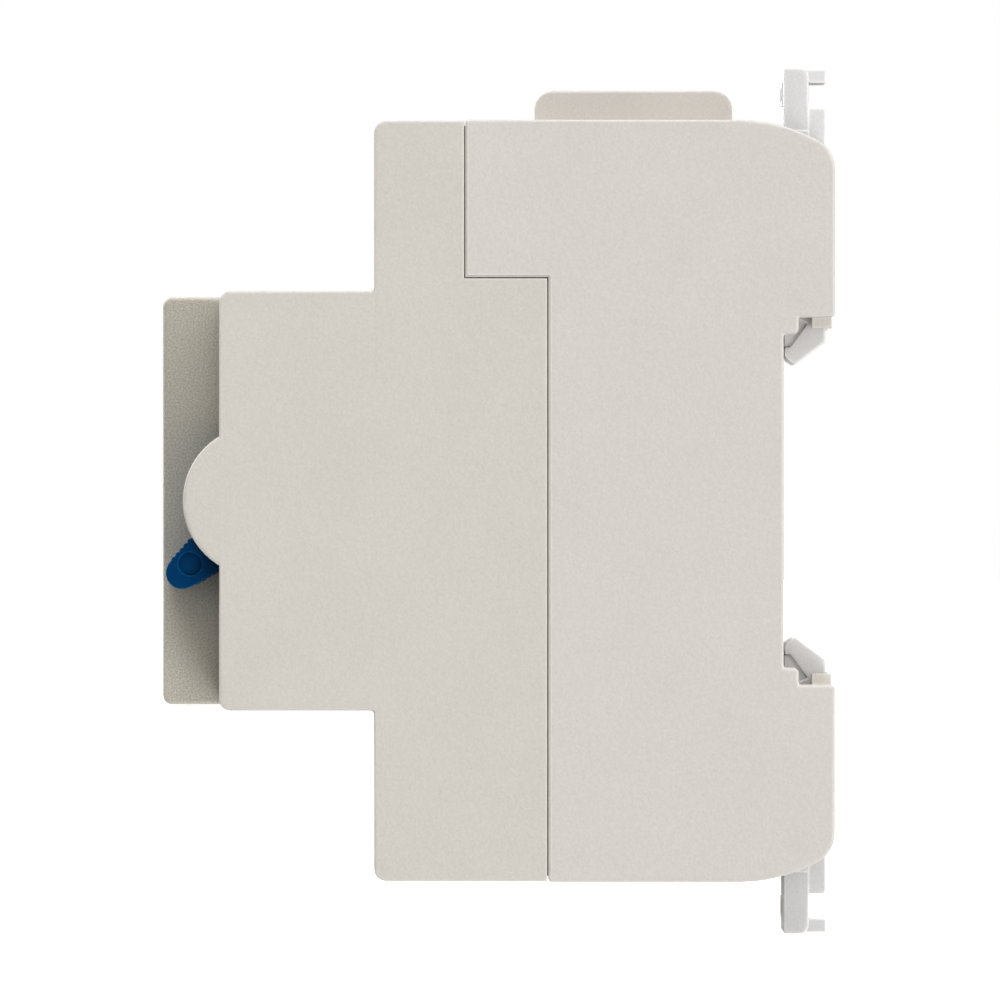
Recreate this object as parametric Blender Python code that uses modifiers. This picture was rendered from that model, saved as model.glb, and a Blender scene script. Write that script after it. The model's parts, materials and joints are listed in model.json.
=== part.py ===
"""Two-module DIN rail residual current switch, modelled as its separate pieces.

Frame: the rail seat face lies in the plane Y = 0 with the origin at its centre. The front of
the device faces -Y, the upper terminals lie at +Z, and X runs across the two modules.
All sizes below are in millimetres; the helper functions turn them into metres.
"""

import math

import bmesh
import bpy
from mathutils import Matrix, Vector

MM = 0.001

# ---------------------------------------------------------------- driving dimensions

# Housing
MODULE_PITCH = 18.0          # one module on the rail
MODULE_CLEARANCE = 0.2       # left free on each side between neighbouring devices
WALL = 1.6                   # side and end walls
FRONT_WALL = 1.8             # walls that face the user
COVER_HALF_HEIGHT = 40.75
BASE_OVERHANG = 0.1          # of the base past the cover
FRONT_HALF_HEIGHT = 22.5     # 45 mm front section
PANEL_HALF_HEIGHT = 22.1
PANEL_DEPTH = 66.95          # raised panel beside the lever
FRONT_DEPTH = 60.5           # front face of the lever half
SHOULDER_DEPTH = 43.9        # terminal shoulders
UPPER_SPLIT_DEPTH = 34.1     # joint between base and cover above SPLIT_STEP_Z
LOWER_SPLIT_DEPTH = 25.2
SPLIT_STEP_Z = 24.0
REAR_DEPTH = 5.5             # the rear edges stand this far behind the rail seat
EDGE_ROUND = 0.35
GAP = 0.3                    # clearance between pieces that touch
RUN_GAP = 0.12               # clearance of a shaft in its bore

# Rail seat
RAIL_HALF_HEIGHT = 17.9
RAIL_LIP_DEPTH = 1.6
RECESS_HALF_HEIGHT = 19.75
SEAT_FLOOR = 2.2             # plastic in front of the rail seat

# Barrier rib between the upper terminals
RIB_HALF_WIDTH = 1.0
RIB_FRONT_DEPTH = 26.7
RIB_REAR_DEPTH = 5.25
RIB_HEIGHT = 3.6
RIB_ROUND = 2.0

# Toggle lever
LEVER_DEPTH = 56.3           # pivot of the lever
EAR_RADIUS = 8.1
EAR_THICKNESS = 2.0
DRUM_RADIUS = 7.4
DRUM_OPENING = 122.0         # degrees of the drum left open toward the inside
LEVER_HUB_RADIUS = 3.4
LEVER_PIN_RADIUS = 1.5
LEVER_SIDE_GAP = 0.5
LEVER_SWING = 86.4           # degrees from off to on
HANDLE_LENGTH = 11.3         # pivot to the centre of the rounded tip
HANDLE_TIP_RADIUS = 1.73
LOWER_FLANK_TAPER = 12.0     # degrees, off position
UPPER_FLANK_TAPER = 5.0
GRIP_TEETH = 5
GRIP_TOOTH_HEIGHT = 0.15
DIMPLE_RADIUS = 1.3
DIMPLE_TURN = 0.7            # degrees from the middle of the handle toward its upper flank
DIMPLE_DEPTH = 0.3
SLOT_GAP = 0.8               # above and below the drum
TAIL_RADIUS = 5.0            # pivot to the link hole
TAIL_OFFSET = 2.3            # from the side of the drum to the tail
TAIL_THICKNESS = 2.2
TAIL_EYE_RADIUS = 1.7
LINK_WIRE_RADIUS = 0.6
LINK_BEND = 0.7
LEVER_SPRING_RADIUS = 2.3
LEVER_SPRING_WIRE = 0.3
LEVER_SPRING_LENGTH = 2.6

# Contact carrier
CRANK_RADIUS = 10.0
CRANK_RIM = 1.1              # round the slot of the crank
LINK_SLOT_GAP = 0.5
CARRIER_RADIUS = 4.0
CARRIER_SHAFT_RADIUS = 1.2
CARRIER_SHAFT_END_GAP = 0.5
CARRIER_Z = -8.0
BACKING_DEPTH = 5.6          # from the shaft to the front of the bar behind each arm
BACKING_THICKNESS = 1.7
BACKING_LENGTH = 8.5
BACKING_RIM = 0.5
BRIDGE_HALF_HEIGHT = 1.8
OPENING_SPRING_RADIUS = 1.9
OPENING_SPRING_WIRE = 0.25
OPENING_SPRING_LENGTH = 1.9
CONTACT_SPRING_RADIUS = 1.1
CONTACT_SPRING_WIRE = 0.2
CONTACT_SPRING_ARM = 6.5     # from the shaft to the spring
ARM_LENGTH = 14.5
ARM_ROOT = 2.2
ARM_TIP_INSET = 2.0          # from the end of the arm to the contact tip
ARM_HALF_WIDTH = 1.8
ARM_THICKNESS = 1.5
CONTACT_TIP_HEIGHT = 0.9
CONTACT_TIP_RADIUS = 1.5
CONTACT_GAP_CLOSED = 0.25

# Terminals
TERMINAL_OFFSET = 0.1        # from the middle of the chambers, inward
STRAP_DEPTH = 27.0           # front face of the terminal straps
STRAP_THICKNESS = 1.6
STRAP_HALF_WIDTH = 2.7
SCREW_HEAD_RADIUS = 3.3
SCREW_HEAD_HEIGHT = 3.2
SCREW_HEAD_DEPTH = 37.0
SCREW_SHANK_RADIUS = 2.0
SCREW_ACCESS_GAP = 0.4
CAGE_WALL = 1.2
CAGE_HALF_WIDTH = 4.8
CAGE_END_GAP = 1.75          # mean clearance at the ends of the chamber
CAGE_TOP = 2.0
CAGE_BOTTOM = 1.8
CAGE_OPEN_GAP = 0.4
WIRE_SPACE = 9.0             # from strap to cage floor when open
WIRE_ENTRY_WIDTH = 7.8
WIRE_ENTRY_HEIGHT = 7.8
WIRE_ENTRY_DEPTH = 20.0      # centre of the wire entries
CHAMBER_FLOOR_DEPTH = 8.0

# Rail clips
CLIP_HALF_WIDTH = 7.8
CLIP_FLANGE_HALF_WIDTH = 9.6
CLIP_FRONT = 0.2
CLIP_PLATE = 2.7
CLIP_RIB = 1.8
CLIP_REACH = 5.85            # past the end of the base
CLIP_RIB_REACH = 1.55
CLIP_RIB_RELIEF = 2.5        # the rib's step starts this far inside the end of the base
CLIP_NOSE_Z = 14.7
CLIP_HOOK_Z = 16.6
CLIP_HOOK_DEPTH = 0.3          # without a rail the noses stand this far behind the seat
CLIP_STEP = 0.4              # the hook web and the outer rib are this much narrower per side
CLIP_LUG_HALF_WIDTH = 4.8
CLIP_LUG_HEIGHT = 1.5
CLIP_SLOT_HALF_WIDTH = 3.2
CLIP_SLOT_REACH = 3.15       # middle of the driver slot, past the end of the base
CLIP_SLOT_HEIGHT = 1.5
CLIP_SLOT_RIM = 0.5
CLIP_SLOT_RIM_HEIGHT = 0.15
CLIP_TONGUE_HALF_WIDTH = 2.0
CLIP_TONGUE_THICKNESS = 1.6
CLIP_TONGUE_DROP = 4.6
CLIP_SPRING_INSET = 2.95     # from the end of the base
CLIP_SPRING_RADIUS = 1.7
CLIP_SPRING_WIRE = 0.3
BLOCK_WIDTH = 2.7            # rails that hold the clips in their channels
BLOCK_INNER_Z = 18.6
BLOCK_REAR = 5.3

# Front panel fittings
BUTTON_Z = -15.0
BUTTON_RADIUS = 3.65
BUTTON_SUNK = 0.15           # of its face behind the panel's
BUTTON_FLANGE_RADIUS = 4.4
BUTTON_FLANGE_HEIGHT = 1.1
BUTTON_STEM_RADIUS = 1.2
BUTTON_TRAVEL = 1.8
BUTTON_SPRING_RADIUS = 2.4
BUTTON_SPRING_WIRE = 0.25
WINDOW_Z = -2.0
WINDOW_HALF_WIDTH = 3.0
WINDOW_HALF_HEIGHT = 1.5
WINDOW_RIM = 0.6
WINDOW_THICKNESS = 0.7
FLAG_RADIUS = 8.4
FLAG_THICKNESS = 0.8
FLAG_SWING = 28.8            # degrees, a third of the lever's
FLAG_RIM = 0.4               # of the flag past the edges of the window
FLAG_HUB_RADIUS = 2.5
FLAG_HUB_LENGTH = 2.4
LABEL_HALF_WIDTH = 6.6
LABEL_LOW_Z = 2.0
LABEL_HIGH_Z = 19.8
LABEL_THICKNESS = 0.3
LABEL_RECESS = 0.4

# Circuit board
BOARD_DEPTH = 57.4
BOARD_THICKNESS = 1.2
BOARD_TOP_Z = -6.0
BOARD_WIDTH = 10.5
BLADE_THICKNESS = 0.4
BLADE_HALF_WIDTH = 1.2
RESISTOR_RADIUS = 1.2
RESISTOR_HALF_LENGTH = 3.0
RESISTOR_LEAD = 0.3

# Current transformer
CORE_DEPTH = 13.6
CORE_LOW_Z = 5.0
CORE_HEIGHT = 11.0
CASE_RADIUS = 9.4
CASE_BORE_RADIUS = 5.2
CASE_WALL = 0.7
WINDING_TURNS = 18
WINDING_WIRE_RADIUS = 0.3
WINDING_ARC = 290.0
CONDUCTOR_RADIUS = 1.3
CONDUCTOR_SPACING = 2.3

# Trip relay and latch
RELAY_WIDTH = 12.3
RELAY_Y = (-50.0, -36.0)
RELAY_LOW_Z = 6.0
PLUNGER_INSET = 2.8          # from the inner side of the relay
PLUNGER_DEPTH = 46.5
PLUNGER_COLLAR = 0.8
PLUNGER_RADIUS = 1.0
PLUNGER_REACH = 2.5
LATCH_PIVOT = (-40.5, -1.0)
LATCH_PIN_RADIUS = 0.8
LATCH_HALF_THICKNESS = 1.0
LATCH_ARM_HALF_WIDTH = 1.2
LATCH_BOSS_RADIUS = 1.9
LATCH_HOOK_REAR = 4.7        # pivot to the end of the hook arm
LATCH_HOOK_DROP = 4.4
LATCH_HOOK_HALF_WIDTH = 1.0
PLATE_THICKNESS = 1.0
PLATE_LOW_Z = -6.5

# Housing screws
HOUSING_SCREW_Z = 15.0
HOUSING_SCREW_RADIUS = 1.0
HOUSING_SCREW_HEAD_RADIUS = 1.9
HOUSING_SCREW_HEAD_HEIGHT = 2.0
HOUSING_SCREW_SUNK = 1.4
HOUSING_SCREW_REACH = 34.0
POST_HALF_HEIGHT = 2.6
POST_RIM = 0.2
SHAFT_POST_THICKNESS = 1.7
SHAFT_POST_RISE = 3.0
WEB_HALF_HEIGHT = 6.0
WEB_REACH = 6.0              # of the lever pin's web behind the pin

# ---------------------------------------------------------------- derived dimensions

HALF_WIDTH = MODULE_PITCH - MODULE_CLEARANCE
INNER_X = HALF_WIDTH - WALL
POLE_X = MODULE_PITCH / 2
PANEL_MID_X = -POLE_X
HALF_SPLIT = GAP / 2
BASE_HALF_HEIGHT = COVER_HALF_HEIGHT + BASE_OVERHANG
LEVER_PIVOT = (-LEVER_DEPTH, 0.0)
HALF_SWING = LEVER_SWING / 2
HANDLE_ANGLE = 180.0 + HALF_SWING            # off: the handle points forward and down
LEVER_X = (LEVER_SIDE_GAP, HALF_WIDTH - EAR_THICKNESS - LEVER_SIDE_GAP)
TAIL_ANGLE = HANDLE_ANGLE - 180.0
TAIL_X = (LEVER_X[0] + TAIL_OFFSET, LEVER_X[0] + TAIL_OFFSET + TAIL_THICKNESS)
LINK_RISE = TAIL_RADIUS * math.sin(math.radians(HALF_SWING))
CARRIER_HALF_SWING = math.degrees(math.asin(LINK_RISE / CRANK_RADIUS))
STRAP_REAR_DEPTH = STRAP_DEPTH - STRAP_THICKNESS
CARRIER_DEPTH = (STRAP_DEPTH + 2 * CONTACT_TIP_HEIGHT + CONTACT_GAP_CLOSED + ARM_THICKNESS / 2)
CARRIER_AXIS = (-CARRIER_DEPTH, CARRIER_Z)
ARM_FACE = -CARRIER_DEPTH + ARM_THICKNESS / 2   # arm side that carries the tip, closed
ARM_TIP_Z = CARRIER_Z - ARM_LENGTH + ARM_TIP_INSET
WEB_REAR_DEPTH = LEVER_DEPTH - WEB_REACH
HOUSING_SCREW_X = INNER_X - HOUSING_SCREW_HEAD_RADIUS - 2 * POST_RIM
SHAFT_POST_X = (INNER_X - GAP - SHAFT_POST_THICKNESS, INNER_X - GAP)
SHAFT_HALF_LENGTH = INNER_X - CARRIER_SHAFT_END_GAP
FLAG_X = (PANEL_MID_X - WINDOW_HALF_WIDTH - FLAG_RIM, PANEL_MID_X + WINDOW_HALF_WIDTH + FLAG_RIM)
PIN_X = (FLAG_X[1] - FLAG_HUB_LENGTH - 2 * GAP, HALF_WIDTH - WALL / 2 - GAP)
BOARD_X = (-INNER_X + GAP, -INNER_X + GAP + BOARD_WIDTH)
BLADE_X = (PANEL_MID_X - BUTTON_FLANGE_RADIUS - 1.1, PANEL_MID_X + BUTTON_STEM_RADIUS + GAP)
RELAY_X = (-WALL - 2 * GAP - RELAY_WIDTH, -WALL - 2 * GAP)
PLUNGER_X = RELAY_X[1] - PLUNGER_INSET
PLATE_X = (-WALL - HALF_SPLIT, -WALL - HALF_SPLIT + PLATE_THICKNESS)
CAGE_TOP_DEPTH = STRAP_DEPTH + CAGE_OPEN_GAP + CAGE_TOP
CAGE_FLOOR_DEPTH = STRAP_REAR_DEPTH - WIRE_SPACE
CHANNEL_FLOOR = CLIP_FRONT - GAP
CLIP_REAR = CLIP_FRONT + CLIP_PLATE
CLIP_WEB_HALF_WIDTH = CLIP_HALF_WIDTH - CLIP_STEP
CLIP_RIB_REAR = CLIP_REAR + CLIP_RIB
BLOCK_FRONT = CLIP_REAR + GAP
BLOCK_INNER_X = CLIP_HALF_WIDTH + GAP
PARTITION_Z = SPLIT_STEP_Z + HALF_SPLIT
CHAMBER_Z = PARTITION_Z + WALL
CHAMBER_END_Z = BASE_HALF_HEIGHT - WALL
TERMINAL_Z = (CHAMBER_Z + CHAMBER_END_Z) / 2 - TERMINAL_OFFSET
CAGE_HALF_LENGTH = (CHAMBER_END_Z - CHAMBER_Z) / 2 - CAGE_END_GAP
CLIP_END_Z = BASE_HALF_HEIGHT + CLIP_REACH
CLIP_RIB_END_Z = BASE_HALF_HEIGHT + CLIP_RIB_REACH
CLIP_SLOT_Z = BASE_HALF_HEIGHT + CLIP_SLOT_REACH
CLIP_SPRING_END_Z = BASE_HALF_HEIGHT - CLIP_SPRING_INSET
CLIP_TONGUE_Z = CHAMBER_Z + 2 * GAP
PANEL_INNER_DEPTH = PANEL_DEPTH - FRONT_WALL
FAR = 80.0                                   # beyond the housing in every direction

PARTS = "residual_current_switch"
CUTTERS = "cutters"

# ---------------------------------------------------------------- scene and materials


def clear_scene():
    for obj in list(bpy.data.objects):
        bpy.data.objects.remove(obj)
    for name in (PARTS, CUTTERS):
        collection = bpy.data.collections.new(name)
        bpy.context.scene.collection.children.link(collection)


def make_material(name, colour, roughness, metallic=0.0, alpha=1.0):
    material = bpy.data.materials.new(name)
    material.use_nodes = True
    shader = material.node_tree.nodes["Principled BSDF"]
    shader.inputs["Base Color"].default_value = (*colour, 1.0)
    shader.inputs["Roughness"].default_value = roughness
    shader.inputs["Metallic"].default_value = metallic
    shader.inputs["Alpha"].default_value = alpha
    material.diffuse_color = (*colour, alpha)
    return material


def make_materials():
    return {
        "housing": make_material("housing", (0.66, 0.64, 0.59), 0.5),
        "lever_blue": make_material("lever_blue", (0.005, 0.03, 0.10), 0.35),
        "clip_white": make_material("clip_white", (0.74, 0.73, 0.71), 0.45),
        "button_grey": make_material("button_grey", (0.30, 0.31, 0.32), 0.4),
        "flag_green": make_material("flag_green", (0.03, 0.30, 0.08), 0.5),
        "window_clear": make_material("window_clear", (0.85, 0.88, 0.9), 0.1, 0.0, 0.4),
        "label": make_material("label", (0.80, 0.80, 0.78), 0.6),
        "steel": make_material("steel", (0.55, 0.56, 0.58), 0.3, 1.0),
        "spring_steel": make_material("spring_steel", (0.42, 0.43, 0.45), 0.35, 1.0),
        "zinc": make_material("zinc", (0.62, 0.62, 0.58), 0.4, 1.0),
        "copper": make_material("copper", (0.72, 0.38, 0.24), 0.35, 1.0),
        "carrier_black": make_material("carrier_black", (0.03, 0.03, 0.035), 0.5),
        "board_green": make_material("board_green", (0.02, 0.16, 0.07), 0.5),
        "relay_grey": make_material("relay_grey", (0.22, 0.22, 0.24), 0.5),
        "core_dark": make_material("core_dark", (0.10, 0.10, 0.11), 0.6, 0.3),
        "case_amber": make_material("case_amber", (0.50, 0.30, 0.12), 0.5),
    }


# ---------------------------------------------------------------- modelling helpers


def add_object(name, mesh, collection=CUTTERS):
    obj = bpy.data.objects.new(name, mesh)
    bpy.data.collections[collection].objects.link(obj)
    if collection == CUTTERS:
        obj.hide_render = True
        obj.display_type = "WIRE"
    return obj


def mesh_from_bmesh(name, bm):
    mesh = bpy.data.meshes.new(name)
    bm.to_mesh(mesh)
    bm.free()
    return mesh


def settle(obj):
    """Bake the placement, merge flat faces and snap the vertices to a fine grid."""
    obj.data.transform(obj.matrix_world)
    obj.matrix_world = Matrix.Identity(4)
    bm = bmesh.new()
    bm.from_mesh(obj.data)
    bmesh.ops.remove_doubles(bm, verts=bm.verts, dist=1e-6)
    bmesh.ops.dissolve_limit(bm, angle_limit=math.radians(0.3), verts=bm.verts, edges=bm.edges)
    for vert in bm.verts:
        vert.co = [round(value, 7) for value in vert.co]
    bm.to_mesh(obj.data)
    bm.free()
    return obj


def box(name, x, y, z):
    """A box from its low and high limits along each axis."""
    size = [(high - low) * MM for low, high in (x, y, z)]
    centre = [(low + high) / 2 * MM for low, high in (x, y, z)]
    bm = bmesh.new()
    place = Matrix.Translation(centre) @ Matrix.Diagonal((*size, 1.0))
    bmesh.ops.create_cube(bm, size=1.0, matrix=place)
    return settle(add_object(name, mesh_from_bmesh(name, bm)))


AXIS_TURN = {
    "X": Matrix(((0, 0, 1, 0), (1, 0, 0, 0), (0, 1, 0, 0), (0, 0, 0, 1))),
    "Y": Matrix(((0, 1, 0, 0), (0, 0, 1, 0), (1, 0, 0, 0), (0, 0, 0, 1))),
    "Z": Matrix.Identity(4),
}


def rod(name, axis, centre, radius, span, segments=24):
    """A cylinder along an axis; centre holds the other two coordinates in cyclic order."""
    low, high = span
    bm = bmesh.new()
    place = Matrix.Translation((centre[0] * MM, centre[1] * MM, (low + high) / 2 * MM))
    bmesh.ops.create_cone(
        bm, cap_ends=True, segments=segments, radius1=radius * MM, radius2=radius * MM,
        depth=(high - low) * MM, matrix=AXIS_TURN[axis] @ place,
    )
    obj = settle(add_object(name, mesh_from_bmesh(name, bm)))
    smooth(obj)
    return obj


def mesh_from_curve(name, curve_object):
    """Turn a curve object into a closed mesh object and remove the curve."""
    bpy.context.view_layer.update()
    evaluated = curve_object.evaluated_get(bpy.context.evaluated_depsgraph_get())
    mesh = bpy.data.meshes.new_from_object(evaluated)
    bm = bmesh.new()
    bm.from_mesh(mesh)
    bmesh.ops.remove_doubles(bm, verts=bm.verts, dist=1e-6)
    bm.to_mesh(mesh)
    bm.free()
    mesh.name = name
    obj = add_object(name, mesh)
    obj.matrix_world = curve_object.matrix_world.copy()
    bpy.data.objects.remove(curve_object)
    return obj


def prism(name, outline, span, axis="X"):
    """A flat outline, given in the two coordinates that follow the axis, pulled along it."""
    low, high = span
    curve = bpy.data.curves.new(name + "_outline", "CURVE")
    curve.dimensions = "2D"
    curve.fill_mode = "BOTH"
    curve.extrude = (high - low) / 2 * MM
    spline = curve.splines.new("POLY")
    spline.points.add(len(outline) - 1)
    for point, (u, v) in zip(spline.points, outline):
        point.co = (u * MM, v * MM, 0.0, 1.0)
    spline.use_cyclic_u = True
    curve_object = add_object(name + "_outline", curve)
    curve_object.matrix_world = AXIS_TURN[axis] @ Matrix.Translation((0, 0, (low + high) / 2 * MM))
    return settle(mesh_from_curve(name, curve_object))


def wire(name, points, radius, resolution=2, smooth_path=False):
    """A round wire or tube through points; smooth_path bends it gently between them."""
    curve = bpy.data.curves.new(name + "_path", "CURVE")
    curve.dimensions = "3D"
    curve.bevel_depth = radius * MM
    curve.bevel_resolution = resolution
    curve.use_fill_caps = True
    if smooth_path:
        spline = curve.splines.new("BEZIER")
        spline.bezier_points.add(len(points) - 1)
        for point, place in zip(spline.bezier_points, points):
            point.co = Vector(place) * MM
            point.handle_left_type = "AUTO"
            point.handle_right_type = "AUTO"
        curve.resolution_u = 4
    else:
        spline = curve.splines.new("POLY")
        spline.points.add(len(points) - 1)
        for point, place in zip(spline.points, points):
            point.co = (*(Vector(place) * MM), 1.0)
    obj = mesh_from_curve(name, add_object(name + "_path", curve))
    smooth(obj)
    return obj


def turned(name, axis, centre, profile, steps=24):
    """A turned piece: (radius, place along the axis) from its high end down the outside."""
    bm = bmesh.new()
    closed = profile[0][0] > 0
    verts = [bm.verts.new((radius * MM, 0.0, place * MM)) for radius, place in profile]
    for first, second in zip(verts, verts[1:]):
        bm.edges.new((first, second))
    if closed:
        bm.edges.new((verts[-1], verts[0]))
    obj = add_object(name, mesh_from_bmesh(name, bm))
    obj.matrix_world = AXIS_TURN[axis] @ Matrix.Translation((centre[0] * MM, centre[1] * MM, 0.0))
    screw = obj.modifiers.new("turn", "SCREW")
    screw.axis = "Z"
    screw.angle = math.tau
    screw.steps = steps
    screw.render_steps = steps
    screw.use_merge_vertices = True
    screw.merge_threshold = 0.000001
    return obj


def corner_arc(before, corner, after, radius, segments):
    """Points of the arc that rounds one corner of an outline."""
    corner = Vector(corner)
    to_before = (Vector(before) - corner).normalized()
    to_after = (Vector(after) - corner).normalized()
    half = to_before.angle(to_after) / 2
    start = corner + to_before * radius / math.tan(half)
    end = corner + to_after * radius / math.tan(half)
    centre = corner + (to_before + to_after).normalized() * radius / math.sin(half)
    points = []
    for step in range(segments + 1):
        share = step / segments
        spoke = (start - centre).lerp(end - centre, share)
        turn = (math.pi - 2 * half) * share
        spoke = (start - centre) * math.sin(math.pi - 2 * half - turn) + (end - centre) * math.sin(turn)
        points.append(tuple(centre + spoke / math.sin(math.pi - 2 * half)))
    return points


def rounded(corners):
    """An outline whose corners are (u, v) or (u, v, radius) or (u, v, radius, segments)."""
    points = []
    count = len(corners)
    for index, corner in enumerate(corners):
        if len(corner) == 2:
            points.append(corner)
            continue
        before = corners[index - 1][:2]
        after = corners[(index + 1) % count][:2]
        segments = corner[3] if len(corner) > 3 else 4
        points.extend(corner_arc(before, corner[:2], after, corner[2], segments))
    return points


def mirrored(corners):
    """An upper half outline followed by its mirror image in Z."""
    lower = [(corner[0], -corner[1], *corner[2:]) for corner in reversed(corners)]
    return list(corners) + lower


def arc(centre, radius, start, end, segments):
    """Points on an arc between two angles in degrees."""
    points = []
    for step in range(segments + 1):
        angle = math.radians(start + (end - start) * step / segments)
        points.append((centre[0] + radius * math.cos(angle), centre[1] + radius * math.sin(angle)))
    return points


def polar(centre, radius, angle):
    return arc(centre, radius, angle, angle, 1)[0]


def bar(name, start, end, half_width, span, segments=8):
    """A flat link with round ends between two centres."""
    heading = math.degrees(math.atan2(end[1] - start[1], end[0] - start[0]))
    outline = arc(end, half_width, heading - 90, heading + 90, segments)
    outline += arc(start, half_width, heading + 90, heading + 270, segments)
    return prism(name, outline, span)


def smooth(obj, angle=35.0):
    obj.data.shade_smooth()
    obj.data.set_sharp_from_angle(angle=math.radians(angle))


def apply_modifiers(obj):
    """Replace an object's mesh by its evaluated mesh."""
    bpy.context.view_layer.update()
    evaluated = obj.evaluated_get(bpy.context.evaluated_depsgraph_get())
    mesh = bpy.data.meshes.new_from_object(evaluated)
    obj.modifiers.clear()
    obj.data = mesh


def bevel(obj, width=EDGE_ROUND, segments=2, angle=40.0):
    modifier = obj.modifiers.new("round_edges", "BEVEL")
    modifier.width = width * MM
    modifier.segments = segments
    modifier.limit_method = "ANGLE"
    modifier.angle_limit = math.radians(angle)
    apply_modifiers(obj)
    settle(obj)


def combine(obj, others, operation):
    for other in others:
        modifier = obj.modifiers.new(operation.lower(), "BOOLEAN")
        modifier.operation = operation
        modifier.solver = "EXACT"
        modifier.object = other


def cut(obj, cutters):
    combine(obj, cutters, "DIFFERENCE")


def join(obj, others):
    combine(obj, others, "UNION")


def finish(obj, name, material, origin=None):
    """Make an object one of the parts: its name, material, collection and origin."""
    apply_modifiers(obj)
    obj.name = name
    obj.data.name = name
    obj.data.materials.clear()
    obj.data.materials.append(material)
    smooth(obj)
    obj.hide_render = False
    obj.display_type = "TEXTURED"
    bpy.data.collections[CUTTERS].objects.unlink(obj)
    bpy.data.collections[PARTS].objects.link(obj)
    if origin is not None:
        place = Matrix.Translation(Vector(origin) * MM)
        obj.data.transform(place.inverted() @ obj.matrix_world)
        obj.matrix_world = place
    return obj


def helix(turns, per_turn, radius, start, end):
    """Points (along, u, v) of a coil that runs along an axis."""
    points = []
    count = int(turns * per_turn)
    for step in range(count + 1):
        angle = math.tau * step / per_turn
        along = start + (end - start) * step / count
        points.append((along, radius * math.cos(angle), radius * math.sin(angle)))
    return points


SIDES = (("left", -1), ("right", 1))
LEVELS = (("upper", 1), ("lower", -1))


def across(side, low, high):
    """Limits that run from low to high on the positive side, mirrored on the negative one."""
    return (low, high) if side > 0 else (-high, -low)


# ---------------------------------------------------------------- housing


def housing_screw_bore(name, radius, y):
    cutters = []
    for _, side in SIDES:
        for _, level in LEVELS:
            centre = (level * HOUSING_SCREW_Z, side * HOUSING_SCREW_X)
            cutters.append(rod(name, "Y", centre, radius, y, 16))
    return cutters


def screw_posts(name, y):
    posts = []
    width = (HOUSING_SCREW_X - HOUSING_SCREW_HEAD_RADIUS - POST_RIM, INNER_X + 0.1)
    for _, side in SIDES:
        for _, level in LEVELS:
            z = (level * HOUSING_SCREW_Z - POST_HALF_HEIGHT, level * HOUSING_SCREW_Z + POST_HALF_HEIGHT)
            posts.append(box(name, across(side, *width), y, z))
    return posts


def base_outline():
    half = [
        (-SHOULDER_DEPTH, BASE_HALF_HEIGHT),
        (-1.2, BASE_HALF_HEIGHT, 17.0, 5),
        (REAR_DEPTH, BASE_HALF_HEIGHT - 2.9, 3.6, 6),
        (REAR_DEPTH, RECESS_HALF_HEIGHT),
        (RAIL_LIP_DEPTH, RECESS_HALF_HEIGHT),
        (RAIL_LIP_DEPTH, RAIL_HALF_HEIGHT, 0.4, 2),
        (0.0, RAIL_HALF_HEIGHT),
    ]
    return rounded(mirrored(half))


def clip_channel_cutters(level):
    z = across(level, RAIL_HALF_HEIGHT - 0.6, FAR)
    flange = CLIP_FLANGE_HALF_WIDTH + GAP
    tongue_z = (CHAMBER_Z, CLIP_SPRING_END_Z + GAP)
    pocket_half = CLIP_TONGUE_HALF_WIDTH + 2 * GAP
    return [
        box("channel", (-flange, flange), (CHANNEL_FLOOR, BLOCK_FRONT), z),
        box("channel_mouth", (-BLOCK_INNER_X, BLOCK_INNER_X), (BLOCK_FRONT - 0.2, FAR), z),
        box("spring_pocket", (-pocket_half, pocket_half),
            (-CLIP_TONGUE_DROP - 2 * GAP, CLIP_FRONT), across(level, *tongue_z)),
    ]


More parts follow.
